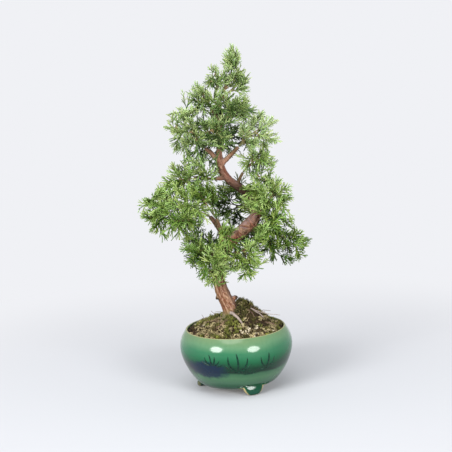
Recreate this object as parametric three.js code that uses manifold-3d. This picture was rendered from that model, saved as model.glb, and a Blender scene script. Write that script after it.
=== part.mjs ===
// A small itoigawa juniper bonsai in a round glazed pot on three feet.
// Millimetres, +Z up. Shapes are laid out about the pot's axis, with the feet at z = 0, and the
// finished tree is then moved so that the origin lies under the middle of its bounding box.
import * as THREE from "three";
import { mergeVertices } from "three/addons/utils/BufferGeometryUtils.js";
import Module from "manifold-3d";

const wasm = await Module();
wasm.setup();

// Driving dimensions of the pot and what fills it.
const POT_WIDEST_R = 52.5;
const LIP_Z = 57;
const LIP_R = 44.8;
const BASE_Z = 6.5;
const BASE_R = 35;
const FLOOR_Z = 12;
const DRAIN_R = 8;
const FOOT_COUNT = 3;
const FOOT_FIRST_DEG = -68;
const FOOT_OUTER_R = 38.6;
const FOOT_DEPTH = 9.5;
const FOOT_HALF = 4.6;
const SEAT_GAP = 0.3;
const SOIL_TOP_Z = 51.5;
const MOSS_EDGE_Z = 54.8;

// Driving dimensions of the foliage.
const CORE_SIDES = 4;
const LEAFY_STEPS_MOST = 5;
const CORE_STEP = 4.5;
const CORE_MID_R = 1.1;
const CORE_TIP_R = 0.8;
const SHOOT_R = 0.75;
const SHOOT_LONG = 18;
const LEAFY_STEP = 3.9;
const LEAFLET_LONG = 10.5;
const LEAFLET_SHORT = 6.5;
const LEAFLET_BASE_R = 0.9;
const NODE_CLEARANCE = 0.6;

const v3 = (p) => new THREE.Vector3(p[0], p[1], p[2]);

// A seeded random draw between 0 and 1, the same on every run.
function seededRandom(seed) {
  let state = seed >>> 0;
  return () => {
    state = (state + 0x6d2b79f5) >>> 0;
    let t = Math.imul(state ^ (state >>> 15), 1 | state);
    t = (t + Math.imul(t ^ (t >>> 7), 61 | t)) ^ t;
    return ((t ^ (t >>> 14)) >>> 0) / 4294967296;
  };
}

// A closed geometry as a solid that can be joined and cut, and back again.
function solidOf(geometry) {
  const bare = geometry.index ? geometry.toNonIndexed() : geometry.clone();
  const positions = new THREE.BufferGeometry();
  positions.setAttribute("position", bare.getAttribute("position"));
  const merged = mergeVertices(positions, 1e-4);
  const mesh = new wasm.Mesh({
    numProp: 3,
    vertProperties: merged.attributes.position.array,
    triVerts: new Uint32Array(merged.index.array),
  });
  return new wasm.Manifold(mesh);
}

function geometryOf(solid) {
  const mesh = solid.getMesh();
  const geometry = new THREE.BufferGeometry();
  geometry.setAttribute("position", new THREE.BufferAttribute(mesh.vertProperties, 3));
  geometry.setIndex(new THREE.BufferAttribute(mesh.triVerts, 1));
  return geometry;
}

function geometryFrom(points, triangles) {
  const geometry = new THREE.BufferGeometry();
  geometry.setAttribute("position", new THREE.Float32BufferAttribute(points.flat(), 3));
  geometry.setIndex(triangles.flat());
  return geometry;
}

function joinAll(solids) {
  return solids.reduce((whole, next) => whole.add(next));
}

// The frames of a route of [x, y, z, radius] points: places along it, each with its tangent,
// two cross directions that don't twist, and the radius there.
function framesAlong(route, stepLength, fewest = 2) {
  const curve = new THREE.CatmullRomCurve3(route.map(v3), false, "centripetal");
  const steps = Math.max(fewest, Math.round(curve.getLength() / stepLength));
  const frames = [];
  let side = new THREE.Vector3(1, 0, 0);
  for (let i = 0; i <= steps; i += 1) {
    const at = i / steps;
    const tangent = curve.getTangent(at);
    side = side.clone().addScaledVector(tangent, -side.dot(tangent));
    if (side.lengthSq() < 0.05) side = new THREE.Vector3(0, 1, 0).addScaledVector(tangent, -tangent.y);
    side.normalize();
    const across = new THREE.Vector3().crossVectors(tangent, side);
    const leg = at * (route.length - 1);
    const low = Math.min(Math.floor(leg), route.length - 2);
    const radius = THREE.MathUtils.lerp(route[low][3], route[low + 1][3], leg - low);
    frames.push({ at, point: curve.getPoint(at), tangent, side, across, radius });
  }
  return frames;
}

// The corners of a round section of a limb.
function sectionAt(frame, sides, radiusOf) {
  const corners = [];
  for (let k = 0; k < sides; k += 1) {
    const turn = (2 * Math.PI * k) / sides;
    const radius = radiusOf(turn);
    const corner = frame.point.clone().addScaledVector(frame.side, radius * Math.cos(turn));
    corners.push(corner.addScaledVector(frame.across, radius * Math.sin(turn)));
  }
  return corners;
}

// A closed tapered limb round a route.
// flute raises rounded ridges that wind slowly up it, as juniper wood has.
function limb(route, { sides, stepLength, flute = 0, grow = 0 }) {
  const frames = framesAlong(route, stepLength);
  const steps = frames.length - 1;
  frames[0].point.addScaledVector(frames[0].tangent, -grow);
  frames[steps].point.addScaledVector(frames[steps].tangent, grow);
  const points = frames.flatMap((frame) => {
    const ridge = (turn) => Math.cos(3 * turn + 5 * frame.at) + 0.6 * Math.cos(5 * turn - 9 * frame.at);
    return sectionAt(frame, sides, (turn) => frame.radius * (1 + flute * ridge(turn)) + grow);
  });
  const triangles = [];
  for (let i = 0; i < steps; i += 1) {
    for (let k = 0; k < sides; k += 1) {
      const a = i * sides + k;
      const b = i * sides + ((k + 1) % sides);
      triangles.push([a, b, b + sides], [a, b + sides, a + sides]);
    }
  }
  const last = steps * sides;
  for (let k = 1; k < sides - 1; k += 1) {
    triangles.push([0, k + 1, k], [last, last + k, last + k + 1]);
  }
  return geometryFrom(points.map((point) => point.toArray()), triangles);
}

// The pot: a thrown bowl with an incurved lip, three bracket feet and a drain hole, one piece of clay.
const POT_SEGMENTS = 36;
const OUTER_WALL = [
  [BASE_R, BASE_Z],
  [38.8, 9.2],
  [44.6, 17],
  [49, 25.5],
  [51.8, 34],
  [POT_WIDEST_R, 41],
  [51.4, 47.5],
  [49, 53],
  [46.6, 56.2],
];
const INNER_WALL = [
  [LIP_R, 55.6],
  [46.6, 49.5],
  [47.4, 41],
  [44.5, 28],
  [39, 18],
  [31, FLOOR_Z],
];

function lathe(profile, segments) {
  const outline = profile.map(([r, z]) => new THREE.Vector2(r, z));
  const turned = new THREE.LatheGeometry(outline, segments);
  turned.rotateX(Math.PI / 2);
  return turned;
}

function makePot() {
  const lip = [[45.6, LIP_Z]];
  const wall = [[0, BASE_Z], ...OUTER_WALL, ...lip, ...INNER_WALL, [0, FLOOR_Z]];
  const bowl = solidOf(lathe(wall, POT_SEGMENTS));
  const footOutline = new THREE.Shape();
  footOutline.moveTo(-FOOT_HALF, 0);
  footOutline.lineTo(FOOT_HALF, 0);
  footOutline.quadraticCurveTo(7.2, 1.2, 7.8, 4);
  footOutline.quadraticCurveTo(8.6, 8.4, 11.5, 10.5);
  footOutline.lineTo(-11.5, 10.5);
  footOutline.quadraticCurveTo(-8.6, 8.4, -7.8, 4);
  footOutline.quadraticCurveTo(-7.2, 1.2, -FOOT_HALF, 0);
  const feet = [];
  for (let i = 0; i < FOOT_COUNT; i += 1) {
    const depth = FOOT_DEPTH;
    const foot = new THREE.ExtrudeGeometry(footOutline, { depth, bevelEnabled: false, curveSegments: 3 });
    foot.rotateX(Math.PI / 2);
    foot.translate(0, FOOT_DEPTH - FOOT_OUTER_R, 0);
    foot.rotateZ(THREE.MathUtils.degToRad(FOOT_FIRST_DEG + 90 + (360 / FOOT_COUNT) * i));
    feet.push(solidOf(foot));
  }
  const drain = new THREE.CylinderGeometry(DRAIN_R, DRAIN_R, 4 * FLOOR_Z, 20).rotateX(Math.PI / 2);
  return geometryOf(joinAll([bowl, ...feet]).subtract(solidOf(drain)));
}

// The woven plastic mesh that keeps the soil in over the drain hole.
const MESH_SIDE = 24;
const MESH_THICK = 0.9;
const MESH_HOLES = 4;

function makeDrainMesh() {
  const plate = solidOf(new THREE.BoxGeometry(MESH_SIDE, MESH_SIDE, MESH_THICK));
  const pitch = MESH_SIDE / (MESH_HOLES + 1);
  const holes = [];
  for (let i = 1; i <= MESH_HOLES; i += 1) {
    for (let j = 1; j <= MESH_HOLES; j += 1) {
      const hole = new THREE.BoxGeometry(0.72 * pitch, 0.72 * pitch, 3 * MESH_THICK);
      hole.translate(i * pitch - MESH_SIDE / 2, j * pitch - MESH_SIDE / 2, 0);
      holes.push(solidOf(hole));
    }
  }
  const net = geometryOf(plate.subtract(joinAll(holes)));
  return net.translate(0, 0, FLOOR_Z + SEAT_GAP + MESH_THICK / 2);
}

// The wood: trunk, roots and limbs are one grown piece. Routes are [x, y, z, radius].
const TRUNK = [
  [1, 1, 40, 9],
  [0, 0.5, 56, 9.5],
  [-1.8, 0, 65, 8.6],
  [-4.9, 0, 76.5, 7.3],
  [-9.5, -0.5, 87.3, 6.5],
  [-12.6, -1, 98.1, 6.1],
  [-13.4, -1, 109.5, 6],
  [-10.4, 0, 123.3, 6],
  [-1.9, 1, 135.3, 6.1],
  [8.8, 1, 145.1, 6.2],
  [19.4, 3, 153.1, 6],
  [25.6, 6, 162, 5.3],
  [25.1, 9, 170.6, 4.7],
  [18.9, 8, 178.5, 4.4],
  [10.9, 5, 186.3, 4.1],
  [1.2, 3, 194, 3.9],
  [-4.3, 1, 202.8, 3.8],
  [-6.1, 0, 212.2, 3.3],
  [-6.4, -1, 225.1, 2.5],
  [-4.4, -2, 236.9, 2],
  [-6, -1, 248.7, 1.8],
  [-5.3, 0, 262.1, 1.5],
  [-0.7, 1, 272.6, 1.3],
];
const ROOTS = [
  [[-3, -1, 71, 5], [3, -8, 65.5, 3.6], [9, -16, 60.5, 2.5], [14, -24, 55, 1.6]],
  [[-1, 1, 71, 5], [10, 4, 68, 3.8], [19, 5, 63, 2.6], [27, 5, 56, 1.7]],
  [[-2, 3, 70, 5], [4, 13, 64.5, 3.4], [10, 21, 58.5, 2.2], [14, 27, 53.5, 1.5]],
  [[-5, 2, 70, 4.8], [-14, 8, 63, 3.3], [-22, 13, 57.5, 2.2], [-28, 16, 53, 1.5]],
  [[-5, -1, 70, 4.8], [-12, -8, 63, 3.2], [-18, -15, 58, 2.2], [-23, -21, 53, 1.5]],
];
const STUBS = [
  [[-7, 0, 80, 4], [1.5, -0.5, 84.6, 2.5], [3.4, -0.6, 84.2, 1.4]],
  [[-8, -1, 88, 4], [-15.5, -3, 86, 2], [-16.6, -3.2, 84, 1]],
  [[-4, 1, 201, 3], [-8.5, -1, 204.5, 2.3]],
];
const LIMBS = {
  left_up: [[-6.1, 0, 211, 2.8], [-13.9, -4, 220.3, 2.2], [-19, -7, 225, 1.8]],
  right_up: [[-5.3, 0, 209, 3], [0.3, -1, 214.2, 2.6], [6, -3, 219.6, 2.2], [11, -4.5, 224.6, 1.8]],
  right_wisp: [[8.2, 5, 187.8, 2.2], [11.3, 1, 195.6, 1.7], [14, -2, 200.8, 1.4]],
  left_mid: [[-2.2, 2, 196.5, 2.6], [-11.5, -1.5, 196.3, 1.9]],
  left_low: [
    [-9.7, 0, 127.9, 3.8], [-8.2, -2, 139.5, 3.3], [-9.2, -3, 149, 2.9],
    [-14.5, -5, 158, 2.5], [-18, -6.5, 162.4, 2.1],
  ],
  right_mid: [[25, 6, 161, 3.4], [31, 2, 165, 2.4]],
  right_low: [[12.5, 2, 148.5, 4.2], [23.7, 2, 147.4, 3], [28, 1.5, 146, 2.5]],
  front_low: [[-12.6, -1, 112, 3.6], [-14.5, -10, 123.5, 2.6], [-16, -13.5, 127, 2.1]],
  front_right: [[-11.5, -2, 119, 3.4], [-5, -9.5, 125.5, 2.4]],
  front_tuft: [[-1.9, 0, 135.9, 2.6], [-2.7, -8.5, 138.2, 1.7]],
  trunk_tuft: [[-13.4, -2, 104, 3], [-14, -11, 110, 1.8]],
  back_mid: [[25, 7, 163.5, 3.2], [20.5, 16, 164.7, 2.2]],
  back_low: [[-8.8, 0, 127, 3.6], [-1.9, 12, 131.5, 2.7], [1, 16.5, 132.4, 2.3]],
  back_left: [[-11.4, 0, 116, 3.4], [-17, 12, 123, 2.4]],
  back_up: [[-6.3, 0, 221, 2.6], [-3.2, 6, 226.8, 1.9]],
  crown_left: [[-5.6, -1, 249, 2], [-9.2, -2.2, 255, 1.5]],
  crown_front: [[-6.3, -1, 224, 2.4], [-8.2, -6, 229.5, 1.7]],
  crown_right: [[-5.2, -1, 243.5, 2], [-1, 0.2, 248.6, 1.5]],
  crown_top: [[-5.8, -1.2, 246, 1.8], [-4, -7, 251, 1.4]],
  apex_left: [[-5.3, 0, 261, 1.6], [-8, -2.5, 267, 1.2]],
  apex_right: [[-4.4, 0.3, 266, 1.6], [1.5, 0.3, 271.8, 1.2]],
  inner_left: [[-9.8, -3.5, 151, 2.6], [-12, -10, 160.5, 1.6]],
  inner_right: [[24, 2, 147.4, 2.8], [30, -4, 152, 1.7]],
  inner_top: [[18.9, 7, 178.5, 2.8], [23.5, 4.5, 184, 1.6]],
};

const TRUNK_SIDES = 9;
const TRUNK_STEP = 9.5;
const TRUNK_FLUTE = 0.06;
const LIMB_SIDES = 5;
const LIMB_STEP = 9;

// grow swells the trunk and roots by the same amount all round, for the holes that they stand in.
function woodSolid(grow) {
  const trunk = limb(TRUNK, { sides: TRUNK_SIDES, stepLength: TRUNK_STEP, flute: TRUNK_FLUTE, grow });
  const others = grow > 0 ? ROOTS : [...ROOTS, ...STUBS, ...Object.values(LIMBS)];
  const limbs = others.map((route) => limb(route, { sides: LIMB_SIDES, stepLength: LIMB_STEP, grow }));
  return joinAll([trunk, ...limbs].map(solidOf));
}

// The soil fills the pot, and the moss lies on it as a lumpy mat that climbs to the trunk.
function fillRadius(z) {
  const wall = INNER_WALL;
  for (let i = 0; i + 1 < wall.length; i += 1) {
    const [r1, z1] = wall[i];
    const [r2, z2] = wall[i + 1];
    if (z <= z1 && z >= z2) return THREE.MathUtils.lerp(r1, r2, (z1 - z) / (z1 - z2));
  }
  return z > wall[0][1] ? wall[0][0] : wall.at(-1)[0];
}

function makeSoil(woodHole) {
  const bottom = FLOOR_Z + 2 * SEAT_GAP + MESH_THICK;
  const levels = [18, 28, 41];
  const side = levels.map((z) => [fillRadius(z) - 2 * SEAT_GAP, z]);
  const foot = [fillRadius(bottom) - 2 * SEAT_GAP, bottom];
  const rim = [fillRadius(SOIL_TOP_Z) - 2 * SEAT_GAP, SOIL_TOP_Z];
  const fill = solidOf(lathe([[0, bottom], foot, ...side, rim, [0, SOIL_TOP_Z]], 24));
  return geometryOf(fill.subtract(woodHole));
}

function mossHeight(x, y) {
  const r = Math.hypot(x, y);
  const dome = 14.5 * (1 - Math.pow(Math.min(r / LIP_R, 1), 1.4));
  const run = x < 7 ? 70 : 300;
  const mound = 14 * Math.exp(-((x - 7) ** 2) / run - (y - 2) ** 2 / 120);
  const broad = 0.9 * Math.sin(x * 0.42 + 1.3) * Math.cos(y * 0.47 - 0.4);
  const fine = 0.6 * Math.sin(x * 0.9 - y * 0.75);
  const edge = THREE.MathUtils.smoothstep(LIP_R - r, 0, 7);
  return MOSS_EDGE_Z + dome + mound + (broad + fine) * edge;
}

function makeMoss(woodHole) {
  const rings = [7, 14, 21, 28, 35, 40.5, LIP_R - 2 * SEAT_GAP];
  const sectors = 22;
  const bottom = SOIL_TOP_Z + SEAT_GAP;
  const points = [[0, 0, mossHeight(0, 0)], [0, 0, bottom]];
  const triangles = [];
  rings.forEach((r, i) => {
    for (let k = 0; k < sectors; k += 1) {
      const turn = (2 * Math.PI * (k + 0.5 * (i % 2))) / sectors;
      const x = r * Math.cos(turn);
      const y = r * Math.sin(turn);
      points.push([x, y, mossHeight(x, y)]);
    }
  });
  const start = (i) => 2 + i * sectors;
  for (let k = 0; k < sectors; k += 1) {
    const next = (k + 1) % sectors;
    triangles.push([0, start(0) + k, start(0) + next]);
    for (let i = 0; i + 1 < rings.length; i += 1) {
      const [a, b, c, d] = [start(i) + k, start(i) + next, start(i + 1) + k, start(i + 1) + next];
      if (i % 2 === 0) triangles.push([a, c, b], [b, c, d]);
      else triangles.push([a, c, d], [a, d, b]);
    }
  }
  const top = start(rings.length - 1);
  const low = points.length;
  for (let k = 0; k < sectors; k += 1) points.push([points[top + k][0], points[top + k][1], bottom]);
  for (let k = 0; k < sectors; k += 1) {
    const next = (k + 1) % sectors;
    triangles.push([top + k, low + k, low + next], [top + k, low + next, top + next]);
    triangles.push([1, low + next, low + k]);
  }
  const mat = solidOf(geometryFrom(points, triangles)).subtract(woodHole);
  const pieces = mat.decompose().sort((a, b) => b.volume() - a.volume());
  return geometryOf(pieces[0]);
}

// The foliage. Each pad is one body grown face by face: a twig core, shoots that grow out of the
// core's faces, and leaflets that grow out of the shoots' faces.
// from is the limb that the pad's twig continues, and core is where that twig runs; centre and
// reach are the middle and the half-widths of the pad; shoots is how many it may carry.
const PADS = {
  apex: {
    from: "TRUNK",
    core: [[4, 0.5, 281], [8, 0, 291], [10, 0, 304]],
    centre: [9, 0, 293],
    reach: [13, 12, 27],
    shoots: 10,
  },
  apex_left: {
    from: "apex_left",
    core: [[-8, -3, 274], [-5, -3, 281]],
    centre: [-5, -3, 283],
    reach: [15, 13, 18],
    shoots: 6,
  },
  apex_right: {
    from: "apex_right",
    core: [[8, 0.5, 276], [14, 0.5, 281]],
    centre: [16, 0, 281],
    reach: [13, 12, 14],
    shoots: 5,
  },
  crown_left: {
    from: "crown_left",
    core: [[-13, -3, 262], [-17, -3, 270]],
    centre: [-18, -3, 268],
    reach: [18, 16, 21],
    shoots: 8,
  },
  crown_top: {
    from: "crown_top",
    core: [[-2, -11, 255], [1, -13, 261]],
    centre: [0, -12, 262],
    reach: [17, 13, 18],
    shoots: 6,
  },
  crown_front: {
    from: "crown_front",
    core: [[-10, -12, 235], [-11, -15, 243]],
    centre: [-11, -13, 240],
    reach: [18, 14, 20],
    shoots: 7,
  },
  crown_right: {
    from: "crown_right",
    core: [[5, 2, 253.5], [12, 3, 259]],
    centre: [14, 3, 257],
    reach: [18, 16, 17],
    shoots: 7,
  },
  crown_back: {
    from: "back_up",
    core: [[0, 13, 232], [1, 19, 241]],
    centre: [0, 19, 242],
    reach: [19, 15, 25],
    shoots: 6,
  },
  upper_left: {
    from: "left_up",
    core: [[-26, -11, 232], [-34, -14, 240]],
    centre: [-33, -10, 242],
    reach: [24, 20, 28],
    shoots: 12,
  },
  upper_right: {
    from: "right_up",
    core: [[18, -5.5, 231], [27, -6, 238]],
    centre: [29, -4, 237],
    reach: [25, 19, 23],
    shoots: 10,
  },
  right_wisps: {
    from: "right_wisp",
    core: [[18, -4, 206], [26, -7, 212]],
    centre: [26, -6, 212],
    reach: [21, 15, 16],
    shoots: 6,
  },
  inner_top: {
    from: "inner_top",
    core: [[27, 2, 189], [30, 0, 194]],
    centre: [27, 2, 193],
    reach: [17, 14, 14],
    shoots: 4,
  },
  mid_left_top: {
    from: "left_mid",
    core: [[-18, -5, 197], [-30, -9, 199]],
    centre: [-37, -8, 195],
    reach: [27, 20, 25],
    shoots: 11,
  },
  inner_left: {
    from: "inner_left",
    core: [[-17, -12.5, 169], [-22, -13, 178]],
    centre: [-23, -12, 181],
    reach: [18, 13, 18],
    shoots: 5,
  },
  mid_left_low: {
    from: "left_low",
    core: [[-25, -10, 167], [-36, -13, 170], [-48, -14, 171]],
    centre: [-50, -16, 173],
    reach: [36, 33, 30],
    shoots: 20,
  },
  mid_right: {
    from: "right_mid",
    core: [[35, -1, 169], [38, -4, 177]],
    centre: [37, 0, 179],
    reach: [24, 22, 27],
    shoots: 10,
  },
  inner_right: {
    from: "inner_right",
    core: [[35, -7, 157], [38, -8, 162]],
    centre: [36, -7, 158],
    reach: [18, 14, 15],
    shoots: 5,
  },
  low_right: {
    from: "right_low",
    core: [[35, 1, 143.5], [46, 1, 140]],
    centre: [50, 1, 133],
    reach: [32, 22, 23],
    shoots: 12,
  },
  low_left: {
    from: "front_low",
    core: [[-19, -18, 131], [-26, -23, 134]],
    centre: [-31, -22, 133],
    reach: [19, 17, 17],
    shoots: 6,
  },
  low_front: {
    from: "trunk_tuft",
    core: [[-14, -15, 114.5], [-15, -18, 121]],
    centre: [-17, -18, 116],
    reach: [19, 14, 21],
    shoots: 6,
  },
  low_front_right: {
    from: "front_right",
    core: [[2, -15.5, 129.5], [9, -19, 129]],
    centre: [13, -19, 123],
    reach: [21, 17, 22],
    shoots: 8,
  },
  front_tuft: {
    from: "front_tuft",
    core: [[-2.5, -12.5, 141], [-2.5, -15, 145]],
    centre: [-2.5, -16, 147],
    reach: [12, 12, 14],
    shoots: 3,
  },
  back_mid: {
    from: "back_mid",
    core: [[13, 25, 165.5], [4, 33, 167]],
    centre: [0, 33, 168],
    reach: [22, 17, 25],
    shoots: 7,
  },
  back_right: {
    from: "back_low",
    core: [[8, 26, 134.5], [16, 34, 135]],
    centre: [22, 35, 136],
    reach: [22, 18, 20],
    shoots: 7,
  },
  back_left: {
    from: "back_left",
    core: [[-23, 22, 129], [-28, 30, 133]],
    centre: [-30, 32, 133],
    reach: [21, 18, 16],
    shoots: 6,
  },
};

const limbOf = (pad) => (pad.from === "TRUNK" ? TRUNK : LIMBS[pad.from]);

// What already stands in space: tapered rods that no shoot of another pad may touch.
const rods = [];

function closestGap(a, b, c, d) {
  const u = b.clone().sub(a);
  const w = d.clone().sub(c);
  const r = a.clone().sub(c);
  const uu = u.lengthSq();
  const ww = w.lengthSq();
  const uw = u.dot(w);
  const ur = u.dot(r);
  const wr = w.dot(r);
  const spread = uu * ww - uw * uw;
  let s = spread > 1e-9 ? THREE.MathUtils.clamp((uw * wr - ur * ww) / spread, 0, 1) : 0;
  const t = THREE.MathUtils.clamp((uw * s + wr) / ww, 0, 1);
  s = THREE.MathUtils.clamp((uw * t - ur) / uu, 0, 1);
  const gap = a.clone().addScaledVector(u, s).sub(c.clone().addScaledVector(w, t)).length();
  return { gap, s, t };
}

function addRod(a, b, ra, rb, pad, shoot) {
  const middle = a.clone().add(b).multiplyScalar(0.5);
  rods.push({ a, b, ra, rb, pad, shoot, middle, half: a.distanceTo(b) / 2 + Math.max(ra, rb) });
}

// Whether a rod from a to b stays clear of the other pads and the wood, and for a shoot also of
// its own pad's other shoots, apart from the one that it grows from.
function isClear(a, b, ra, rb, pad, shoot = null, parent = "none") {
  const middle = a.clone().add(b).multiplyScalar(0.5);
  const half = a.distanceTo(b) / 2 + Math.max(ra, rb);
  for (const rod of rods) {
    if (rod.pad === pad && (shoot === null || rod.shoot === shoot)) continue;
    if (rod.pad === pad && rod.shoot === parent) continue;
    const reach = half + rod.half + 1;
    if (rod.middle.distanceToSquared(middle) > reach * reach) continue;
    const { gap, s, t } = closestGap(a, b, rod.a, rod.b);
    const thickness = THREE.MathUtils.lerp(ra, rb, s) + THREE.MathUtils.lerp(rod.ra, rod.rb, t);
    if (gap < thickness + (rod.pad === pad ? 0.1 : NODE_CLEARANCE)) return false;
  }
  return true;
}

// Leaflets of one shoot share their roots, so only their outer parts are held apart.
function leafletsPart(from, tip, others) {
  const outer = from.clone().lerp(tip, 0.4);
  return others.every(([otherFrom, otherTip]) => {
    const { gap } = closestGap(outer, tip, otherFrom.clone().lerp(otherTip, 0.4), otherTip);
    return gap > 0.6;
  });
}

// Whether the straight edge from p to q passes through the triangle a, b, c.
const edgeRay = new THREE.Ray();
const edgeHit = new THREE.Vector3();

function edgePierces(p, q, a, b, c) {
  edgeRay.origin.copy(p);
  edgeRay.direction.copy(q).sub(p).normalize();
  if (!edgeRay.intersectTriangle(a, b, c, false, edgeHit)) return false;
  return edgeHit.distanceTo(p) < 1.02 * p.distanceTo(q);
}

// A body made only of triangles, in which any face can be drawn out into a new branch.
class Growth {
  constructor() {
    this.points = [];
    this.faces = new Set();
  }

  // Whether any of the fresh faces passes through another face of the body.
  crosses(fresh, leftOut = null) {
    const at = (i) => this.points[i];
    const boxOf = (face) => new THREE.Box3().setFromPoints(face.map(at));
    const freshBoxes = fresh.map(boxOf);
    const pierced = (edgesOf, face) => {
      for (let k = 0; k < 3; k += 1) {
        const from = edgesOf[k];
        const to = edgesOf[(k + 1) % 3];
        if (face.includes(from) || face.includes(to)) continue;
        if (edgePierces(at(from), at(to), at(face[0]), at(face[1]), at(face[2]))) return true;
      }
      return false;
    };
    for (const other of this.faces) {
      if (other === leftOut) continue;
      other.box ??= boxOf(other);
      for (const [i, face] of fresh.entries()) {
        if (other === face || !other.box.intersectsBox(freshBoxes[i])) continue;
        if (pierced(face, other) || pierced(other, face)) return true;
      }
    }
    return false;
  }

  addPoint(p) {
    this.points.push(p.clone());
    return this.points.length - 1;
  }

  addFace(a, b, c) {
    const face = [a, b, c];
    this.faces.add(face);
    return face;
  }

  centre(face) {
    const sum = face.reduce((total, i) => total.add(this.points[i]), new THREE.Vector3());
    return sum.multiplyScalar(1 / 3);
  }

  normal(face) {
    const [a, b, c] = face.map((i) => this.points[i]);
    return b.clone().sub(a).cross(c.clone().sub(a)).normalize();
  }

  // Draws a face out by one ring round a point, and returns the new end face and the side faces.
  drawOut(face, point, tangent, radius) {
    this.faces.delete(face);
    const start = this.points[face[0]].clone().sub(this.centre(face));
    const first = start.addScaledVector(tangent, -start.dot(tangent)).normalize();
    const ring = face.map((_, k) => {
      const arm = first.clone().applyAxisAngle(tangent, (2 * Math.PI * k) / face.length);
      return this.addPoint(point.clone().addScaledVector(arm, radius));
    });
    const sides = [];
    face.forEach((corner, k) => {
      const next = (k + 1) % face.length;
      sides.push(this.addFace(corner, face[next], ring[next]), this.addFace(corner, ring[next], ring[k]));
    });
    return { end: this.addFace(...ring), sides };
  }

  // Draws a face out to one point, unless that would cross the rest of the body.
  drawTip(face, tip) {
    const apex = this.addPoint(tip);
    const sides = face.map((corner, k) => [corner, face[(k + 1) % face.length], apex]);
    if (this.crosses(sides, face)) {
      this.points.pop();
      return false;
    }
    this.faces.delete(face);
    for (const side of sides) this.faces.add(side);
    return true;
  }

  geometry() {
    return geometryFrom(
      this.points.map((p) => p.toArray()),
      [...this.faces].map((face) => [...face]),
    );
  }
}

// The pad's twig: a closed square tube whose side faces the shoots grow from. It carries on
// from the end of its limb, a hair's breadth off.
function growCore(pad) {
  const { body } = pad;
  const limbEnd = framesAlong(limbOf(pad), TRUNK_STEP).at(-1);
  const start = limbEnd.point.clone().addScaledVector(limbEnd.tangent, SEAT_GAP);
  const tips = pad.core.map((place, i) => [...place, i + 1 < pad.core.length ? CORE_MID_R : CORE_TIP_R]);
  const frames = framesAlong([[...start.toArray(), 0.95 * limbEnd.radius], ...tips], CORE_STEP, 3);
  frames[0].side = limbEnd.side;
  frames[0].across = limbEnd.across;
  const rings = frames.map((frame) => sectionAt(frame, CORE_SIDES, () => frame.radius));
  const corners = rings.map((ring) => ring.map((corner) => body.addPoint(corner)));
  const buds = [];
  const addBud = (face, tangent) => buds.push({ face, owner: "core", tangent });
  for (let i = 0; i + 1 < frames.length; i += 1) {
    const [low, high] = [corners[i], corners[i + 1]];
    for (let k = 0; k < CORE_SIDES; k += 1) {
      const next = (k + 1) % CORE_SIDES;
      const lowFace = body.addFace(low[k], low[next], high[next]);
      const highFace = body.addFace(low[k], high[next], high[k]);
      if (i === 0) continue;
      addBud(lowFace, frames[i].tangent);
      addBud(highFace, frames[i].tangent);
    }
    addRod(frames[i].point, frames[i + 1].point, frames[i].radius, frames[i + 1].radius, pad.name, "core");
  }
  const [root, tip] = [corners[0], corners.at(-1)];
  body.addFace(root[0], root[2], root[1]);
  body.addFace(root[0], root[3], root[2]);
  addBud(body.addFace(tip[0], tip[1], tip[2]), frames.at(-1).tangent);
  addBud(body.addFace(tip[0], tip[2], tip[3]), frames.at(-1).tangent);
  return buds;
}

// A place for a shoot's tip: of several draws inside the pad, the one with most room round it.
function roomiestTip(pad, draws) {
  const { random } = pad;
  const margin = 6;
  let best = null;
  for (let i = 0; i < draws; i += 1) {
    const up = 2 * random() - 1;
    const turn = 2 * Math.PI * random();
    const flat = Math.sqrt(1 - up * up);
    const share = Math.cbrt(0.12 + 0.88 * random());
    const reach = pad.reach.map((half) => share * (half - margin));
    const tip = v3(pad.centre).add(
      new THREE.Vector3(reach[0] * flat * Math.cos(turn), reach[1] * flat * Math.sin(turn), reach[2] * up),
    );
    let room = 40;
    for (const rod of rods) {
      const near = tip.distanceTo(rod.middle) - (rod.pad === "wood" ? rod.half : 0);
      room = Math.min(room, near);
    }
    if (!best || room > best.room) best = { tip, room };
  }
  return best.tip;
}

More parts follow.
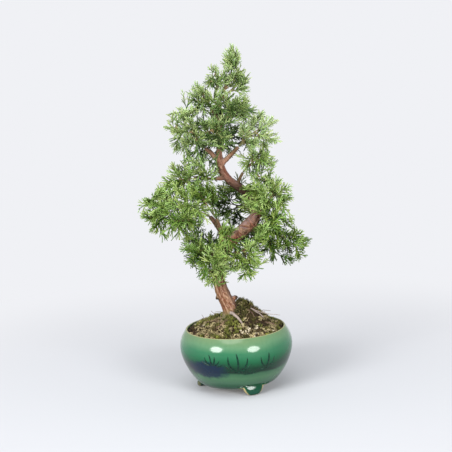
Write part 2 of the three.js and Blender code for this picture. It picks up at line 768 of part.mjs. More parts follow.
// One shoot: grows from the bud that faces its tip best and arches out to the tip.
// Buds lie on the core and on the sides of the shoots that stand already, so shoots fork.
function growShoot(pad, tip, shootId) {
  const { body, buds } = pad;
  const ranked = buds
    .filter((bud) => body.faces.has(bud.face))
    .map((bud) => {
      const from = body.centre(bud.face);
      const normal = body.normal(bud.face);
      const way = tip.clone().sub(from);
      const facing = way.clone().normalize().dot(normal);
      const heading = way.clone().normalize().dot(bud.tangent);
      const score = facing + 0.5 * heading - Math.abs(way.length() - SHOOT_LONG) / 22;
      return { bud, from, normal, way, facing, score };
    })
    .filter(({ facing, way }) => facing > 0.25 && way.length() > 10 && way.length() < 30)
    .sort((a, b) => b.score - a.score);
  for (const { bud, from, normal, way } of ranked.slice(0, 16)) {
    const length = way.length();
    const bend = from
      .clone()
      .addScaledVector(way, 0.42)
      .addScaledVector(normal, 0.14 * length)
      .addScaledVector(bud.tangent, 0.16 * length)
      .add(new THREE.Vector3(0, 0, -0.05 * length));
    const arch = new THREE.QuadraticBezierCurve3(from, bend, tip);
    const leafySteps = Math.max(2, Math.min(LEAFY_STEPS_MOST, Math.round((length * 0.72) / LEAFY_STEP)));
    const bareShare = Math.max(0.14, 1 - ((leafySteps + 0.3) * LEAFY_STEP) / length);
    const bareSteps = bareShare * length > 5 ? 2 : 1;
    const stops = [];
    for (let i = 1; i <= bareSteps; i += 1) stops.push((bareShare * i) / bareSteps);
    const leafyShare = (1 - bareShare) / (leafySteps + 0.3);
    for (let i = 1; i <= leafySteps; i += 1) stops.push(bareShare + leafyShare * i);
    const places = [from, ...stops.map((s) => arch.getPointAt(s))];
    const clear = places.slice(1).every((place, i) => {
      const parent = i === 0 || places[i].distanceTo(from) < 3 ? bud.owner : "none";
      return isClear(places[i], place, SHOOT_R, SHOOT_R, pad.name, shootId, parent);
    });
    if (!clear) continue;
    let end = bud.face;
    const leafy = [];
    const newBuds = [];
    const before = { faces: new Set(body.faces), points: body.points.length };
    stops.forEach((s, i) => {
      const tangent = arch.getTangentAt(s);
      const radius = SHOOT_R * THREE.MathUtils.lerp(1.1, 0.75, s);
      const grown = body.drawOut(end, places[i + 1], tangent, radius);
      end = grown.end;
      for (const face of grown.sides) {
        if (i > 0) newBuds.push({ face, owner: shootId, tangent });
        if (i >= bareSteps) leafy.push({ face, tangent, along: s });
      }
    });
    if (body.crosses([...body.faces].filter((face) => !before.faces.has(face)))) {
      body.faces = before.faces;
      body.points.length = before.points;
      continue;
    }
    buds.push(...newBuds);
    places.slice(1).forEach((place, i) => addRod(places[i], place, SHOOT_R, SHOOT_R, pad.name, shootId));
    leafy.push({ face: end, tangent: arch.getTangentAt(1), along: 1, isTip: true });
    return { id: shootId, parent: bud.owner, leafy };
  }
  return null;
}

// Draws each leafy face of a shoot out into one leaflet that leans towards the shoot's tip.
function growLeaflets(pad, shoot) {
  const { body, random } = pad;
  const grown = [];
  for (const { face, tangent, along, isTip } of shoot.leafy) {
    if (!body.faces.has(face)) continue;
    const from = body.centre(face);
    const normal = body.normal(face);
    for (let attempt = 0; attempt < 10; attempt += 1) {
      const lean = isTip ? 0 : THREE.MathUtils.lerp(1.05, 0.62, along) + 0.2 * (random() - 0.5);
      const direction = isTip
        ? tangent.clone()
        : normal.clone().multiplyScalar(Math.sin(lean)).addScaledVector(tangent, Math.cos(lean));
      const stray = new THREE.Vector3(random() - 0.5, random() - 0.5, random() - 0.35);
      direction.addScaledVector(stray, (isTip ? 0.1 : 0.3) + 0.04 * attempt).normalize();
      if (!isTip && direction.dot(normal) < 0.22) continue;
      const full = THREE.MathUtils.lerp(LEAFLET_LONG, LEAFLET_SHORT, along) * (0.8 + 0.35 * random());
      const length = full * Math.pow(0.92, attempt);
      const tip = from.clone().addScaledVector(direction, length);
      if (!leafletsPart(from, tip, grown)) continue;
      const start = from.clone().addScaledVector(direction, 0.8);
      if (!isClear(start, tip, LEAFLET_BASE_R, 0.05, pad.name)) continue;
      if (!body.drawTip(face, tip)) continue;
      grown.push([from, tip]);
      addRod(start, tip, LEAFLET_BASE_R, 0.05, pad.name, shoot.id);
      break;
    }
  }
}

function makeFoliage() {
  for (const route of [TRUNK, ...ROOTS, ...STUBS, ...Object.values(LIMBS)]) {
    const frames = framesAlong(route, LIMB_STEP);
    for (let i = 1; i < frames.length; i += 1) {
      const [low, high] = [frames[i - 1], frames[i]];
      addRod(low.point, high.point, low.radius * 1.12, high.radius * 1.12, "wood", "core");
    }
  }
  const pads = Object.entries(PADS).map(([name, pad], index) => ({
    ...pad,
    name,
    body: new Growth(),
    grown: [],
    random: seededRandom(7001 + 131 * index),
  }));
  for (const pad of pads) pad.buds = growCore(pad);
  for (let round = 0; round < 26; round += 1) {
    for (const pad of pads) {
      for (let attempt = 0; attempt < 9 && pad.grown.length < Math.min(pad.shoots, round + 1); attempt += 1) {
        const shoot = growShoot(pad, roomiestTip(pad, 14 - attempt), pad.grown.length);
        if (shoot) pad.grown.push(shoot);
      }
    }
  }
  for (const pad of pads) for (const shoot of pad.grown) growLeaflets(pad, shoot);
  return pads;
}

const GLAZE = new THREE.MeshStandardMaterial({ color: 0x3f8562, roughness: 0.15, metalness: 0 });
const NET = new THREE.MeshStandardMaterial({ color: 0x22241f, roughness: 0.7, metalness: 0 });
const SOIL = new THREE.MeshStandardMaterial({ color: 0x4a3a28, roughness: 0.95, metalness: 0 });
const MOSS = new THREE.MeshStandardMaterial({ color: 0x7d7a45, roughness: 0.95, metalness: 0 });
const BARK = new THREE.MeshStandardMaterial({ color: 0x8a6450, roughness: 0.85, metalness: 0 });
const LEAF = new THREE.MeshStandardMaterial({ color: 0x5d8a3c, roughness: 0.6, metalness: 0 });

const bonsai = new THREE.Group();

function place(name, geometry, material) {
  const mesh = new THREE.Mesh(geometry, material);
  mesh.name = name;
  bonsai.add(mesh);
}

const woodHole = woodSolid(SEAT_GAP + 0.1);
place("pot", makePot(), GLAZE);
place("drain_mesh", makeDrainMesh(), NET);
place("soil", makeSoil(woodHole), SOIL);
place("moss_mat", makeMoss(woodHole), MOSS);
place("trunk_and_limbs", geometryOf(woodSolid(0)), BARK);
for (const pad of makeFoliage()) place(`foliage_${pad.name}`, pad.body.geometry(), LEAF);

const box = new THREE.Box3().setFromObject(bonsai);
const middle = box.getCenter(new THREE.Vector3());
for (const mesh of bonsai.children) mesh.position.set(-middle.x, -middle.y, -box.min.z);

export default bonsai;
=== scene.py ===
import itertools
import math
import random

import bmesh
import bpy
import numpy as np
from mathutils import Matrix, Vector, noise


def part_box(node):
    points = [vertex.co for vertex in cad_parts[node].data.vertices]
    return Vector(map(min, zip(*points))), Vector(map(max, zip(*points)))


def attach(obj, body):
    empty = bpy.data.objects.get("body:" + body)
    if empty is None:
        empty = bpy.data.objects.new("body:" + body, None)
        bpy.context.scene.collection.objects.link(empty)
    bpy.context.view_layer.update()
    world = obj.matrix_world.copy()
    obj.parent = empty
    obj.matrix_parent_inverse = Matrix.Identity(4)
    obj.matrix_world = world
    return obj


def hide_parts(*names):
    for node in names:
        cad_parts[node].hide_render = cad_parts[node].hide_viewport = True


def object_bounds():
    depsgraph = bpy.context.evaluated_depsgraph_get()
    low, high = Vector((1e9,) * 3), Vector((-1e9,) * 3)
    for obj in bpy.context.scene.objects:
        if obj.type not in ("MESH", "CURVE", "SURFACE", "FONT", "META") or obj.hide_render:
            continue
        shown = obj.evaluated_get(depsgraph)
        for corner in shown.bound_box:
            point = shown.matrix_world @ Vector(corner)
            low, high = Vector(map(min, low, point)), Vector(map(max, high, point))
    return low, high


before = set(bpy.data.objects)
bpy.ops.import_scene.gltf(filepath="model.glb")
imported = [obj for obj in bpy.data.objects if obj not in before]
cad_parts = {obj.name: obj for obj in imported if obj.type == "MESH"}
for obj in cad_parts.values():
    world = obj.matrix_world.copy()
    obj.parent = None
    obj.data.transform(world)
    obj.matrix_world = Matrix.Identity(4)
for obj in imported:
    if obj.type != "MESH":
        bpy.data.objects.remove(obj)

cad_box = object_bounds()

# Camera. It stands one metre off, as high as the top of the tree, and looks down a little. It is
# rolled three degrees, as a camera held by hand is. Its place is worked out from the pot's axis.
MM = 0.001
pot_low, pot_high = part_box("pot")
POT_X = (pot_low.x + pot_high.x) / 2


def spot(x, y, z):
    """A point given in millimetres from the axis of the pot and the table."""
    return Vector((POT_X + x * MM, y * MM, z * MM))


look_down = math.radians(9.3)
roll = math.radians(3.0)
forward = Vector((0, math.cos(look_down), -math.sin(look_down)))
level_side = Vector((1, 0, 0))
level_up = level_side.cross(forward)
camera_side = level_side * math.cos(roll) - level_up * math.sin(roll)
camera_up = level_up * math.cos(roll) + level_side * math.sin(roll)
camera = bpy.data.objects.new("camera", bpy.data.cameras.new("camera"))
camera.data.lens = 86.57
camera.data.clip_end = 100
camera_turn = Matrix((camera_side, camera_up, -forward)).transposed().to_4x4()
camera_aim = spot(-3.787, 0, 151.987)
camera.matrix_world = Matrix.Translation(camera_aim - forward) @ camera_turn
bpy.context.scene.collection.objects.link(camera)
bpy.context.scene.camera = camera


# The pot is one stoneware bowl, thrown on a wheel with a full belly and a lip that turns in, and
# dipped in a runny green copper glaze. Three feet cut from slab clay are stuck under it. Brushed
# blades of reed and a wash of blue lie in the glaze.
POT_PROFILE = [
    (8, 6.5), (20, 6.8), (32.6, 6.9), (33.8, 6.3), (35.6, 6.7), (38.8, 9.2), (41.6, 12.8),
    (44.6, 17), (47, 21.2), (49, 25.5), (50.7, 29.8), (51.9, 34), (52.5, 38), (52.6, 42),
    (51.9, 46), (50.5, 50), (48.7, 53.3), (47.2, 55.5), (46.6, 56.5), (46, 57), (45.2, 56.9),
    (44.8, 56.2), (45, 55), (45.8, 52), (46.8, 48), (47.4, 41), (46.4, 34), (44.4, 27),
    (39, 18), (31, 12), (18, 12), (8, 12),
]
# The profile is given by radius and height, and the side of a foot by half its width and height.
FOOT_ANGLES = (-68, 52, 172)
FOOT_SIDE = [(2.2, 0), (4.6, 0.5), (6.6, 1.7), (8.3, 3.8), (9.7, 6.6), (10.7, 9.6), (11.2, 12)]
FOOT_FRONT = 38.6
FOOT_DEPTH = 9.5


def tone(code):
    """An sRGB hex colour as the linear colour that a shader takes."""
    levels = [int(code[i:i + 2], 16) / 255 for i in (1, 3, 5)]
    linear = [v / 12.92 if v <= 0.04045 else ((v + 0.055) / 1.055) ** 2.4 for v in levels]
    return (*linear, 1.0)


def plug(material, node, inputs):
    """Sets inputs of a node, given by name or in order, to values, sockets or nodes.

    A node stands for the first of its outputs that is in use.
    """
    for name, value in inputs.items() if isinstance(inputs, dict) else enumerate(inputs):
        if isinstance(value, bpy.types.Node):
            value = next(out for out in value.outputs if out.enabled)
        if isinstance(value, bpy.types.NodeSocket):
            material.node_tree.links.new(value, node.inputs[name])
        else:
            node.inputs[name].default_value = value


def add_node(material, kind, inputs, **settings):
    """Adds one node to a material, with its settings and its inputs."""
    node = material.node_tree.nodes.new("ShaderNode" + kind)
    for name, value in settings.items():
        setattr(node, name, value)
    plug(material, node, inputs)
    return node


def new_finish(name):
    """Starts a material."""
    finish = bpy.data.materials.new(name)
    finish.use_nodes = True
    return finish


def set_finish(finish, looks):
    """Sets the values and links of a material's own shader."""
    plug(finish, finish.node_tree.nodes["Principled BSDF"], looks)


def fill_ramp(ramp, stops):
    """Gives a colour ramp its stops, each a share and a colour."""
    elements = ramp.color_ramp.elements
    while len(elements) < len(stops):
        elements.new(0.5)
    for stop, (share, code) in zip(elements, stops):
        stop.position = share
        stop.color = tone(code)


def cad_form(name):
    """A copy of the mesh of a CAD node, with its loose triangles joined."""
    form = bmesh.new()
    form.from_mesh(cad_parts[name].data)
    bmesh.ops.remove_doubles(form, verts=form.verts, dist=1e-6)
    return form


def set_piece(name, form, finish, stands_for=()):
    """Makes a bmesh into a named piece of the tree, with its finish."""
    mesh = bpy.data.meshes.new(name)
    form.to_mesh(mesh)
    form.free()
    mesh.shade_smooth()
    mesh.materials.append(finish)
    piece = bpy.data.objects.new(name, mesh)
    bpy.context.scene.collection.objects.link(piece)
    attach(piece, "root")
    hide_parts(*stands_for)
    return piece


def settle(piece):
    """Turns the modifiers of a piece into plain mesh."""
    bpy.context.view_layer.update()
    graph = bpy.context.evaluated_depsgraph_get()
    finished = bpy.data.meshes.new_from_object(
        piece.evaluated_get(graph), preserve_all_data_layers=True, depsgraph=graph
    )
    piece.modifiers.clear()
    rough = piece.data
    piece.data = finished
    bpy.data.meshes.remove(rough)
    finished.name = piece.name


def read_vectors(mesh, what):
    """The place or the normal of every vertex of a mesh."""
    flat = np.zeros(len(mesh.vertices) * 3, np.float32)
    mesh.vertices.foreach_get(what, flat)
    return flat.reshape(-1, 3)


def vertex_places(mesh):
    """The vertices of a mesh in millimetres from the axis of the pot."""
    return (read_vectors(mesh, "co") - np.array([POT_X, 0, 0], np.float32)) / MM


def place_vertices(mesh, places):
    """Moves the vertices of a mesh to places in millimetres from the axis of the pot."""
    flat = (places * MM + np.array([POT_X, 0, 0])).astype(np.float32).reshape(-1)
    mesh.vertices.foreach_set("co", flat)
    mesh.update()


def write_values(mesh, name, values):
    """Stores one number, three numbers or a colour for each vertex."""
    values = np.asarray(values, np.float32)
    width = 1 if values.ndim == 1 else values.shape[1]
    kinds = {1: ("FLOAT", "value"), 3: ("FLOAT_VECTOR", "vector"), 4: ("FLOAT_COLOR", "color")}
    kind, field = kinds[width]
    layer = mesh.attributes.new(name, kind, "POINT")
    layer.data.foreach_set(field, values.reshape(-1))


# Copper glaze on stoneware, poured and fired: a smooth, glassy skin that is pale where it ran
# thin at the shoulder, deep green where it pooled, and bare tan clay at the lip and foot edges.
glaze = new_finish("copper glaze on stoneware")
glaze_place = add_node(glaze, "TexCoord", {}).outputs["Object"]
glaze_centred = add_node(glaze, "Mapping", {"Vector": glaze_place, "Location": (-POT_X, 0, 0)})
glaze_height = add_node(glaze, "SeparateXYZ", [glaze_centred]).outputs[2]
glaze_cloud = add_node(
    glaze, "TexNoise", {"Vector": glaze_centred, "Scale": 26.0, "Detail": 2.0, "Roughness": 0.45}
)
glaze_sway = add_node(glaze, "MapRange", [glaze_cloud, 0.25, 0.75, -0.0022, 0.0022])
glaze_level = add_node(glaze, "Math", [glaze_height, glaze_sway], operation="ADD")
# The bands of the glaze are given by their height above the table in millimetres.
GLAZE_TOP = 58
GLAZE_BANDS = [
    (3, "#0a3a2a"), (8.5, "#10402a"), (11.5, "#204c33"), (14.5, "#395f46"), (20.5, "#406748"),
    (24.5, "#31593e"), (26.5, "#022417"), (31.5, "#022e1b"), (36, "#0b4a2c"), (40, "#1b5b3b"),
    (44.5, "#2f6447"), (50, "#517556"), (55.5, "#5b7452"),
]
glaze_share = add_node(glaze, "MapRange", [glaze_level, 0.0, GLAZE_TOP * MM, 0.0, 1.0])
glaze_colour = add_node(glaze, "ValToRGB", [glaze_share])
fill_ramp(glaze_colour, [(height / GLAZE_TOP, code) for height, code in GLAZE_BANDS])
# Runs in the glaze are 1 to 3 mm wide and much longer than that.
glaze_runs = add_node(glaze, "Mapping", {"Vector": glaze_centred, "Scale": (420, 420, 60)})
glaze_streaks = add_node(glaze, "TexNoise", {"Vector": glaze_runs, "Scale": 1.0, "Detail": 3.0})
glaze_run_part = add_node(glaze, "MapRange", [glaze_streaks, 0.42, 0.75, 0.0, 0.12])
# A wash of blue lies low on one side, about 45 mm long and 16 mm high, with a warm fringe.
wash_place, fringe_place = (
    add_node(
        glaze, "Mapping", {"Vector": glaze_centred, "Location": middle, "Scale": reach},
        vector_type="TEXTURE",
    )
    for middle, reach in (
        ((-0.029, -0.041, 0.0285), (0.023, 0.022, 0.0098)),
        ((-0.047, -0.02, 0.024), (0.014, 0.02, 0.011)),
    )
)
wash_reach = add_node(glaze, "VectorMath", [wash_place], operation="LENGTH")
wash_ragged = add_node(glaze, "TexNoise", {"Vector": glaze_centred, "Scale": 120.0, "Detail": 3.0})
wash_edge = add_node(glaze, "Math", [wash_ragged, 0.7, wash_reach], operation="MULTIPLY_ADD")
wash_part = add_node(
    glaze, "MapRange", [wash_edge, 1.0, 1.45, 0.92, 0.0], interpolation_type="SMOOTHSTEP"
)
fringe_reach = add_node(glaze, "VectorMath", [fringe_place], operation="LENGTH")
fringe_part = add_node(
    glaze, "MapRange", [fringe_reach, 0.3, 1.2, 0.45, 0.0], interpolation_type="SMOOTHSTEP"
)
glaze_bare = add_node(glaze, "Attribute", {}, attribute_name="bare").outputs["Fac"]
glaze_rough = add_node(glaze, "MapRange", [glaze_bare, 0.0, 1.0, 0.115, 0.62])
# Each layer lies over the one before, and is given by where it shows and its colour.
for part, code in (
    (glaze_run_part, "#0d5038"), (wash_part, "#031a33"), (fringe_part, "#241419"), (glaze_bare, "#a39468"),
):
    glaze_colour = add_node(glaze, "Mix", {0: part, 6: glaze_colour, 7: tone(code)}, data_type="RGBA")
# The skin of the glaze waves by a few hundredths of a millimetre, 8 mm from crest to crest.
glaze_wave = add_node(glaze, "TexNoise", {"Vector": glaze_centred, "Scale": 120.0, "Detail": 1.0})
glaze_bump = add_node(glaze, "Bump", {"Height": glaze_wave, "Strength": 0.25, "Distance": 0.0003})
set_finish(glaze, {
    "IOR": 1.5, "Specular IOR Level": 0.34, "Base Color": glaze_colour, "Roughness": glaze_rough,
    "Normal": glaze_bump,
})

clay = bmesh.new()
wall = [clay.verts.new(spot(r, 0, z)) for r, z in POT_PROFILE]
wall_edges = [clay.edges.new((wall[i - 1], wall[i])) for i in range(len(wall))]
bmesh.ops.spin(
    clay, geom=wall + wall_edges, cent=spot(0, 0, 0), axis=(0, 0, 1), dvec=(0, 0, 0),
    angle=math.tau, steps=60, use_merge=True, use_duplicate=False,
)
for angle in FOOT_ANGLES:
    outline = [(-half, z) for half, z in reversed(FOOT_SIDE)] + FOOT_SIDE
    face = clay.faces.new([clay.verts.new((FOOT_FRONT * MM, t * MM, z * MM)) for t, z in outline])
    foot = bmesh.ops.extrude_face_region(clay, geom=[face])["geom"]
    back = [v for v in foot if isinstance(v, bmesh.types.BMVert)]
    bmesh.ops.translate(clay, verts=back, vec=(-FOOT_DEPTH * MM, 0, 0))
    whole = list(face.verts) + back
    bmesh.ops.transform(
        clay, matrix=Matrix.Translation((POT_X, 0, 0)) @ Matrix.Rotation(math.radians(angle), 4, "Z"),
        verts=whole,
    )
    bmesh.ops.bevel(
        clay, geom=list(face.edges), offset=2.4 * MM, segments=4, profile=0.5, affect="EDGES",
        material=-1,
    )
bmesh.ops.recalc_face_normals(clay, faces=clay.faces)
pot = set_piece("glazed_pot", clay, glaze, ["pot"])
throwing = pot.modifiers.new("smooth throwing", "SUBSURF")
throwing.levels = 2
throwing.render_levels = 2
settle(pot)
pot.data.shade_smooth()
# The lip, the soles, the ring under the belly and the edges of the feet are bare clay.
pot_at = vertex_places(pot.data)
pot_z = pot_at[:, 2]
pot_radius = np.hypot(pot_at[:, 0], pot_at[:, 1])
on_lip = np.clip((pot_z - 56.5) / 0.4, 0, 1) * (pot_radius < 46.8)
on_sole = pot_z < 0.7
on_ring = (pot_z > 5.9) & (pot_z < 7.3) & (pot_radius < 30)
bare = np.maximum(on_lip * 0.6, (on_sole | on_ring) * 1.0)
for angle in FOOT_ANGLES:
    out = np.array([math.cos(math.radians(angle)), math.sin(math.radians(angle))])
    reach = pot_at[:, :2] @ out
    across = pot_at[:, :2] @ np.array([-out[1], out[0]])
    half = np.interp(pot_z, [z for _, z in FOOT_SIDE], [h for h, _ in FOOT_SIDE])
    on_side = np.clip((np.abs(across) - half + 1.7) / 0.8, 0, 1) * (pot_z < 8.4)
    near_front = np.clip((reach - FOOT_FRONT + 4.6) / 1.2, 0, 1) * (pot_radius < 41)
    bare = np.maximum(bare, on_side * near_front * (0.9 if angle == FOOT_ANGLES[0] else 0.35))
    # The face of the foot is a soft pillow, as a thumb leaves it.
    on_face = np.clip((reach - FOOT_FRONT + 2.5) / 2, 0, 1) * (pot_z < 10.5)
    sink = on_face * (0.04 * (pot_z - 3) ** 2 + 0.014 * across ** 2)
    pot_at[:, :2] -= np.minimum(sink, 2.4)[:, None] * out
write_values(pot.data, "bare", bare)
place_vertices(pot.data, pot_at)

# The reeds are brushed in iron colour and flooded by the glaze, so they shine as it does.
brushed = new_finish("brushed iron underglaze")
brushed_place = add_node(brushed, "TexCoord", {}).outputs["Object"]
brushed_noise = add_node(brushed, "TexNoise", {"Vector": brushed_place, "Scale": 500.0, "Detail": 2.0})
brushed_part = add_node(brushed, "MapRange", [brushed_noise, 0.3, 0.7, 0.0, 1.0])
brushed_colour = add_node(
    brushed, "Mix", {0: brushed_part, 6: tone("#03140f"), 7: tone("#0c3a2b")}, data_type="RGBA"
)
set_finish(brushed, {
    "IOR": 1.5, "Roughness": 0.16, "Specular IOR Level": 0.2, "Base Color": brushed_colour,
})

# Each blade is given by its foot and tip, as an angle round the pot and a height, then its bend
# and half its width in millimetres. It is drawn flat, and then laid on the pot.
BELLY = 50
JUST_OUTSIDE = 54
BLADES = [
    (-92, 27, -99, 43, 2.5, 1.0), (-90, 27, -91, 46, -1.0, 1.1), (-88, 27, -80, 41, -2.4, 1.0),
    (-91, 27, -104, 36, 2.2, 0.8), (-89, 26, -76, 34, -2.0, 0.8), (-60, 28, -66, 40, 1.6, 0.9),
    (-59, 28, -57, 43, -0.8, 1.0), (-57, 28, -50, 38, -1.8, 0.8), (-96, 24.5, -84, 25, 0.5, 0.8),
    (-66, 25.5, -52, 26, 0.5, 0.8), (-84, 21.5, -70, 22, 0.4, 0.6), (-118, 33, -124, 41, 1.2, 0.8),
    (-117, 33, -119, 44, -0.6, 0.9), (-116, 33, -113, 42.5, -1.0, 0.9), (-115, 33, -108, 39, -1.4, 0.8),
    (-118, 33, -128, 37, 1.2, 0.8), (-112, 32, -104, 35, -0.8, 0.7),
]
reeds = bmesh.new()
for foot_turn, foot_z, tip_turn, tip_z, bend, half_width in BLADES:
    blade = bmesh.ops.create_grid(reeds, x_segments=2, y_segments=10, size=0.5)["verts"]
    foot_at = Vector((math.radians(foot_turn) * BELLY, foot_z))
    run = Vector((math.radians(tip_turn) * BELLY, tip_z)) - foot_at
    cross = Vector((-run.y, run.x)).normalized()
    for vert in blade:
        t = vert.co.y + 0.5
        press = 0.25 + 0.75 * math.sin(math.pi * min(t * 1.6, 1) * 0.5)
        half = 1.15 * half_width * press * (1 - t) ** 0.55 + 0.06
        flat = foot_at + run * t + cross * (vert.co.x * half * 2 + bend * math.sin(math.pi * t))
        turn = flat.x / BELLY
        _, near, outward, _ = pot.closest_point_on_mesh(
            spot(JUST_OUTSIDE * math.cos(turn), JUST_OUTSIDE * math.sin(turn), flat.y)
        )
        vert.co = near + outward * 0.05 * MM
    bmesh.ops.recalc_face_normals(reeds, faces=list({f for v in blade for f in v.link_faces}))
bmesh.ops.solidify(reeds, geom=reeds.faces[:], thickness=0.12 * MM)
bmesh.ops.recalc_face_normals(reeds, faces=reeds.faces)
set_piece("brushed_reeds", reeds, brushed)


# The drain mesh is a square of black polyethylene netting, moulded, laid over the hole in the
# floor of the pot so that the soil stays in. It keeps its CAD shape.
netting = new_finish("moulded black polyethylene")
netting_place = add_node(netting, "TexCoord", {}).outputs["Object"]
netting_noise = add_node(netting, "TexNoise", {"Vector": netting_place, "Scale": 900.0, "Detail": 2.0})
netting_colour = add_node(
    netting, "Mix", {0: netting_noise, 6: tone("#131415"), 7: tone("#2b2c2c")}, data_type="RGBA"
)
set_finish(netting, {"Roughness": 0.45, "Base Color": netting_colour})
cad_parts["drain_mesh"].material_slots[0].material = netting


# The soil is baked clay grit, 2 to 4 mm, packed into the bowl under the moss. It keeps its CAD
# shape, because only the drain hole shows it.
grit = new_finish("baked clay grit")
grit_place = add_node(grit, "TexCoord", {}).outputs["Object"]
grit_cells = add_node(grit, "TexVoronoi", {"Vector": grit_place, "Scale": 340.0})
grit_part = add_node(grit, "MapRange", [grit_cells, 0.0, 0.7, 0.0, 1.0])
grit_colour = add_node(
    grit, "Mix", {0: grit_part, 6: tone("#7a5a3c"), 7: tone("#21160f")}, data_type="RGBA"
)
grit_bump = add_node(grit, "Bump", {"Height": grit_cells, "Strength": 1.0, "Distance": 0.001}, invert=True)
set_finish(grit, {"Roughness": 0.95, "Base Color": grit_colour, "Normal": grit_bump})
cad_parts["soil"].material_slots[0].material = grit


# The trunk, roots, stubs and limbs are one live juniper stem. Its bark is thin and fibrous and
# splits along the grain into strips, pinkish where it has flaked and rust red in the cracks.
# Every row of a route is a place on the pot's axes and half the thickness there, in millimetres.
STEM_ROUTES = [
    [
        (1, 1, 40, 9), (0, 0.5, 56, 9.5), (-1.8, 0, 65, 8.6), (-4.9, 0, 76.5, 7.3),
        (-9.5, -0.5, 87.3, 6.5), (-12.6, -1, 98.1, 6.1), (-13.4, -1, 109.5, 6), (-10.4, 0, 123.3, 6),
        (-1.9, 1, 135.3, 6.1), (8.8, 1, 145.1, 6.2), (19.4, 3, 153.1, 6), (25.6, 6, 162, 5.3),
        (25.1, 9, 170.6, 4.7), (18.9, 8, 178.5, 4.4), (10.9, 5, 186.3, 4.1), (1.2, 3, 194, 3.9),
        (-4.3, 1, 202.8, 3.8), (-6.1, 0, 212.2, 3.3), (-6.4, -1, 225.1, 2.5), (-4.4, -2, 236.9, 2),
        (-6, -1, 248.7, 1.8), (-5.3, 0, 262.1, 1.5), (-0.7, 1, 272.6, 1.3),
    ],
    [(-3, -1, 71, 5), (3, -8, 65.5, 3.6), (9, -16, 60.5, 2.5), (14, -24, 55, 1.6)],
    [(-1, 1, 71, 5), (10, 4, 68, 3.8), (19, 5, 63, 2.6), (27, 5, 56, 1.7)],
    [(-2, 3, 70, 5), (4, 13, 64.5, 3.4), (10, 21, 58.5, 2.2), (14, 27, 53.5, 1.5)],
    [(-5, 2, 70, 4.8), (-14, 8, 63, 3.3), (-22, 13, 57.5, 2.2), (-28, 16, 53, 1.5)],
    [(-5, -1, 70, 4.8), (-12, -8, 63, 3.2), (-18, -15, 58, 2.2), (-23, -21, 53, 1.5)],
    [(-7, 0, 80, 4), (1.5, -0.5, 84.6, 2.5), (3.4, -0.6, 84.2, 1.4)],
    [(-8, -1, 88, 4), (-15.5, -3, 86, 2), (-16.6, -3.2, 84, 1)],
    [(-4, 1, 201, 3), (-8.5, -1, 204.5, 2.3)],
    [(-6.1, 0, 211, 2.8), (-13.9, -4, 220.3, 2.2), (-19, -7, 225, 1.8)],
    [(-5.3, 0, 209, 3), (0.3, -1, 214.2, 2.6), (6, -3, 219.6, 2.2), (11, -4.5, 224.6, 1.8)],
    [(8.2, 5, 187.8, 2.2), (11.3, 1, 195.6, 1.7), (14, -2, 200.8, 1.4)],
    [(-2.2, 2, 196.5, 2.6), (-11.5, -1.5, 196.3, 1.9)],
    [(-9.7, 0, 127.9, 3.8), (-8.2, -2, 139.5, 3.3), (-9.2, -3, 149, 2.9), (-14.5, -5, 158, 2.5),
     (-18, -6.5, 162.4, 2.1)],
    [(25, 6, 161, 3.4), (31, 2, 165, 2.4)],
    [(12.5, 2, 148.5, 4.2), (23.7, 2, 147.4, 3), (28, 1.5, 146, 2.5)],
    [(-12.6, -1, 112, 3.6), (-14.5, -10, 123.5, 2.6), (-16, -13.5, 127, 2.1)],
    [(-11.5, -2, 119, 3.4), (-5, -9.5, 125.5, 2.4)],
    [(-1.9, 0, 135.9, 2.6), (-2.7, -8.5, 138.2, 1.7)],
    [(-13.4, -2, 104, 3), (-14, -11, 110, 1.8)],
    [(25, 7, 163.5, 3.2), (20.5, 16, 164.7, 2.2)],
    [(-8.8, 0, 127, 3.6), (-1.9, 12, 131.5, 2.7), (1, 16.5, 132.4, 2.3)],
    [(-11.4, 0, 116, 3.4), (-17, 12, 123, 2.4)],
    [(-6.3, 0, 221, 2.6), (-3.2, 6, 226.8, 1.9)],
    [(-5.6, -1, 249, 2), (-9.2, -2.2, 255, 1.5)],
    [(-6.3, -1, 224, 2.4), (-8.2, -6, 229.5, 1.7)],
    [(-5.2, -1, 243.5, 2), (-1, 0.2, 248.6, 1.5)],
    [(-5.8, -1.2, 246, 1.8), (-4, -7, 251, 1.4)],
    [(-5.3, 0, 261, 1.6), (-8, -2.5, 267, 1.2)],
    [(-4.4, 0.3, 266, 1.6), (1.5, 0.3, 271.8, 1.2)],
    [(-9.8, -3.5, 151, 2.6), (-12, -10, 160.5, 1.6)],
    [(24, 2, 147.4, 2.8), (30, -4, 152, 1.7)],
    [(18.9, 7, 178.5, 2.8), (23.5, 4.5, 184, 1.6)],
]
STUB_ENDS = [(3.4, -0.6, 84.2), (-16.6, -3.2, 84), (-8.5, -1, 204.5)]

# Living juniper bark: dry, matt fibre. It reads as streaks along the stem, 1.5 mm apart.
bark = new_finish("juniper bark")
bark_grain, bark_wear, bark_tint_and_shade = (
    add_node(bark, "Attribute", {}, attribute_name=name).outputs["Vector"]
    for name in ("grain", "wear", "tint_and_shade")
)
bark_cracked, bark_young, bark_shaded = add_node(bark, "SeparateXYZ", [bark_wear]).outputs
bark_pale, bark_painted_shade, bark_cut = add_node(bark, "SeparateXYZ", [bark_tint_and_shade]).outputs
bark_fibre = add_node(
    bark, "TexNoise", {"Vector": bark_grain, "Scale": 1.5, "Detail": 4.0, "Roughness": 0.6}
)
bark_fibre_part = add_node(bark, "MapRange", [bark_fibre, 0.5, 0.72, 0.0, 0.55])
bark_strips = add_node(bark, "TexNoise", {"Vector": bark_grain, "Scale": 0.42, "Detail": 2.0})
bark_strip_part = add_node(bark, "MapRange", [bark_strips, 0.4, 0.58, 0.0, 1.0])
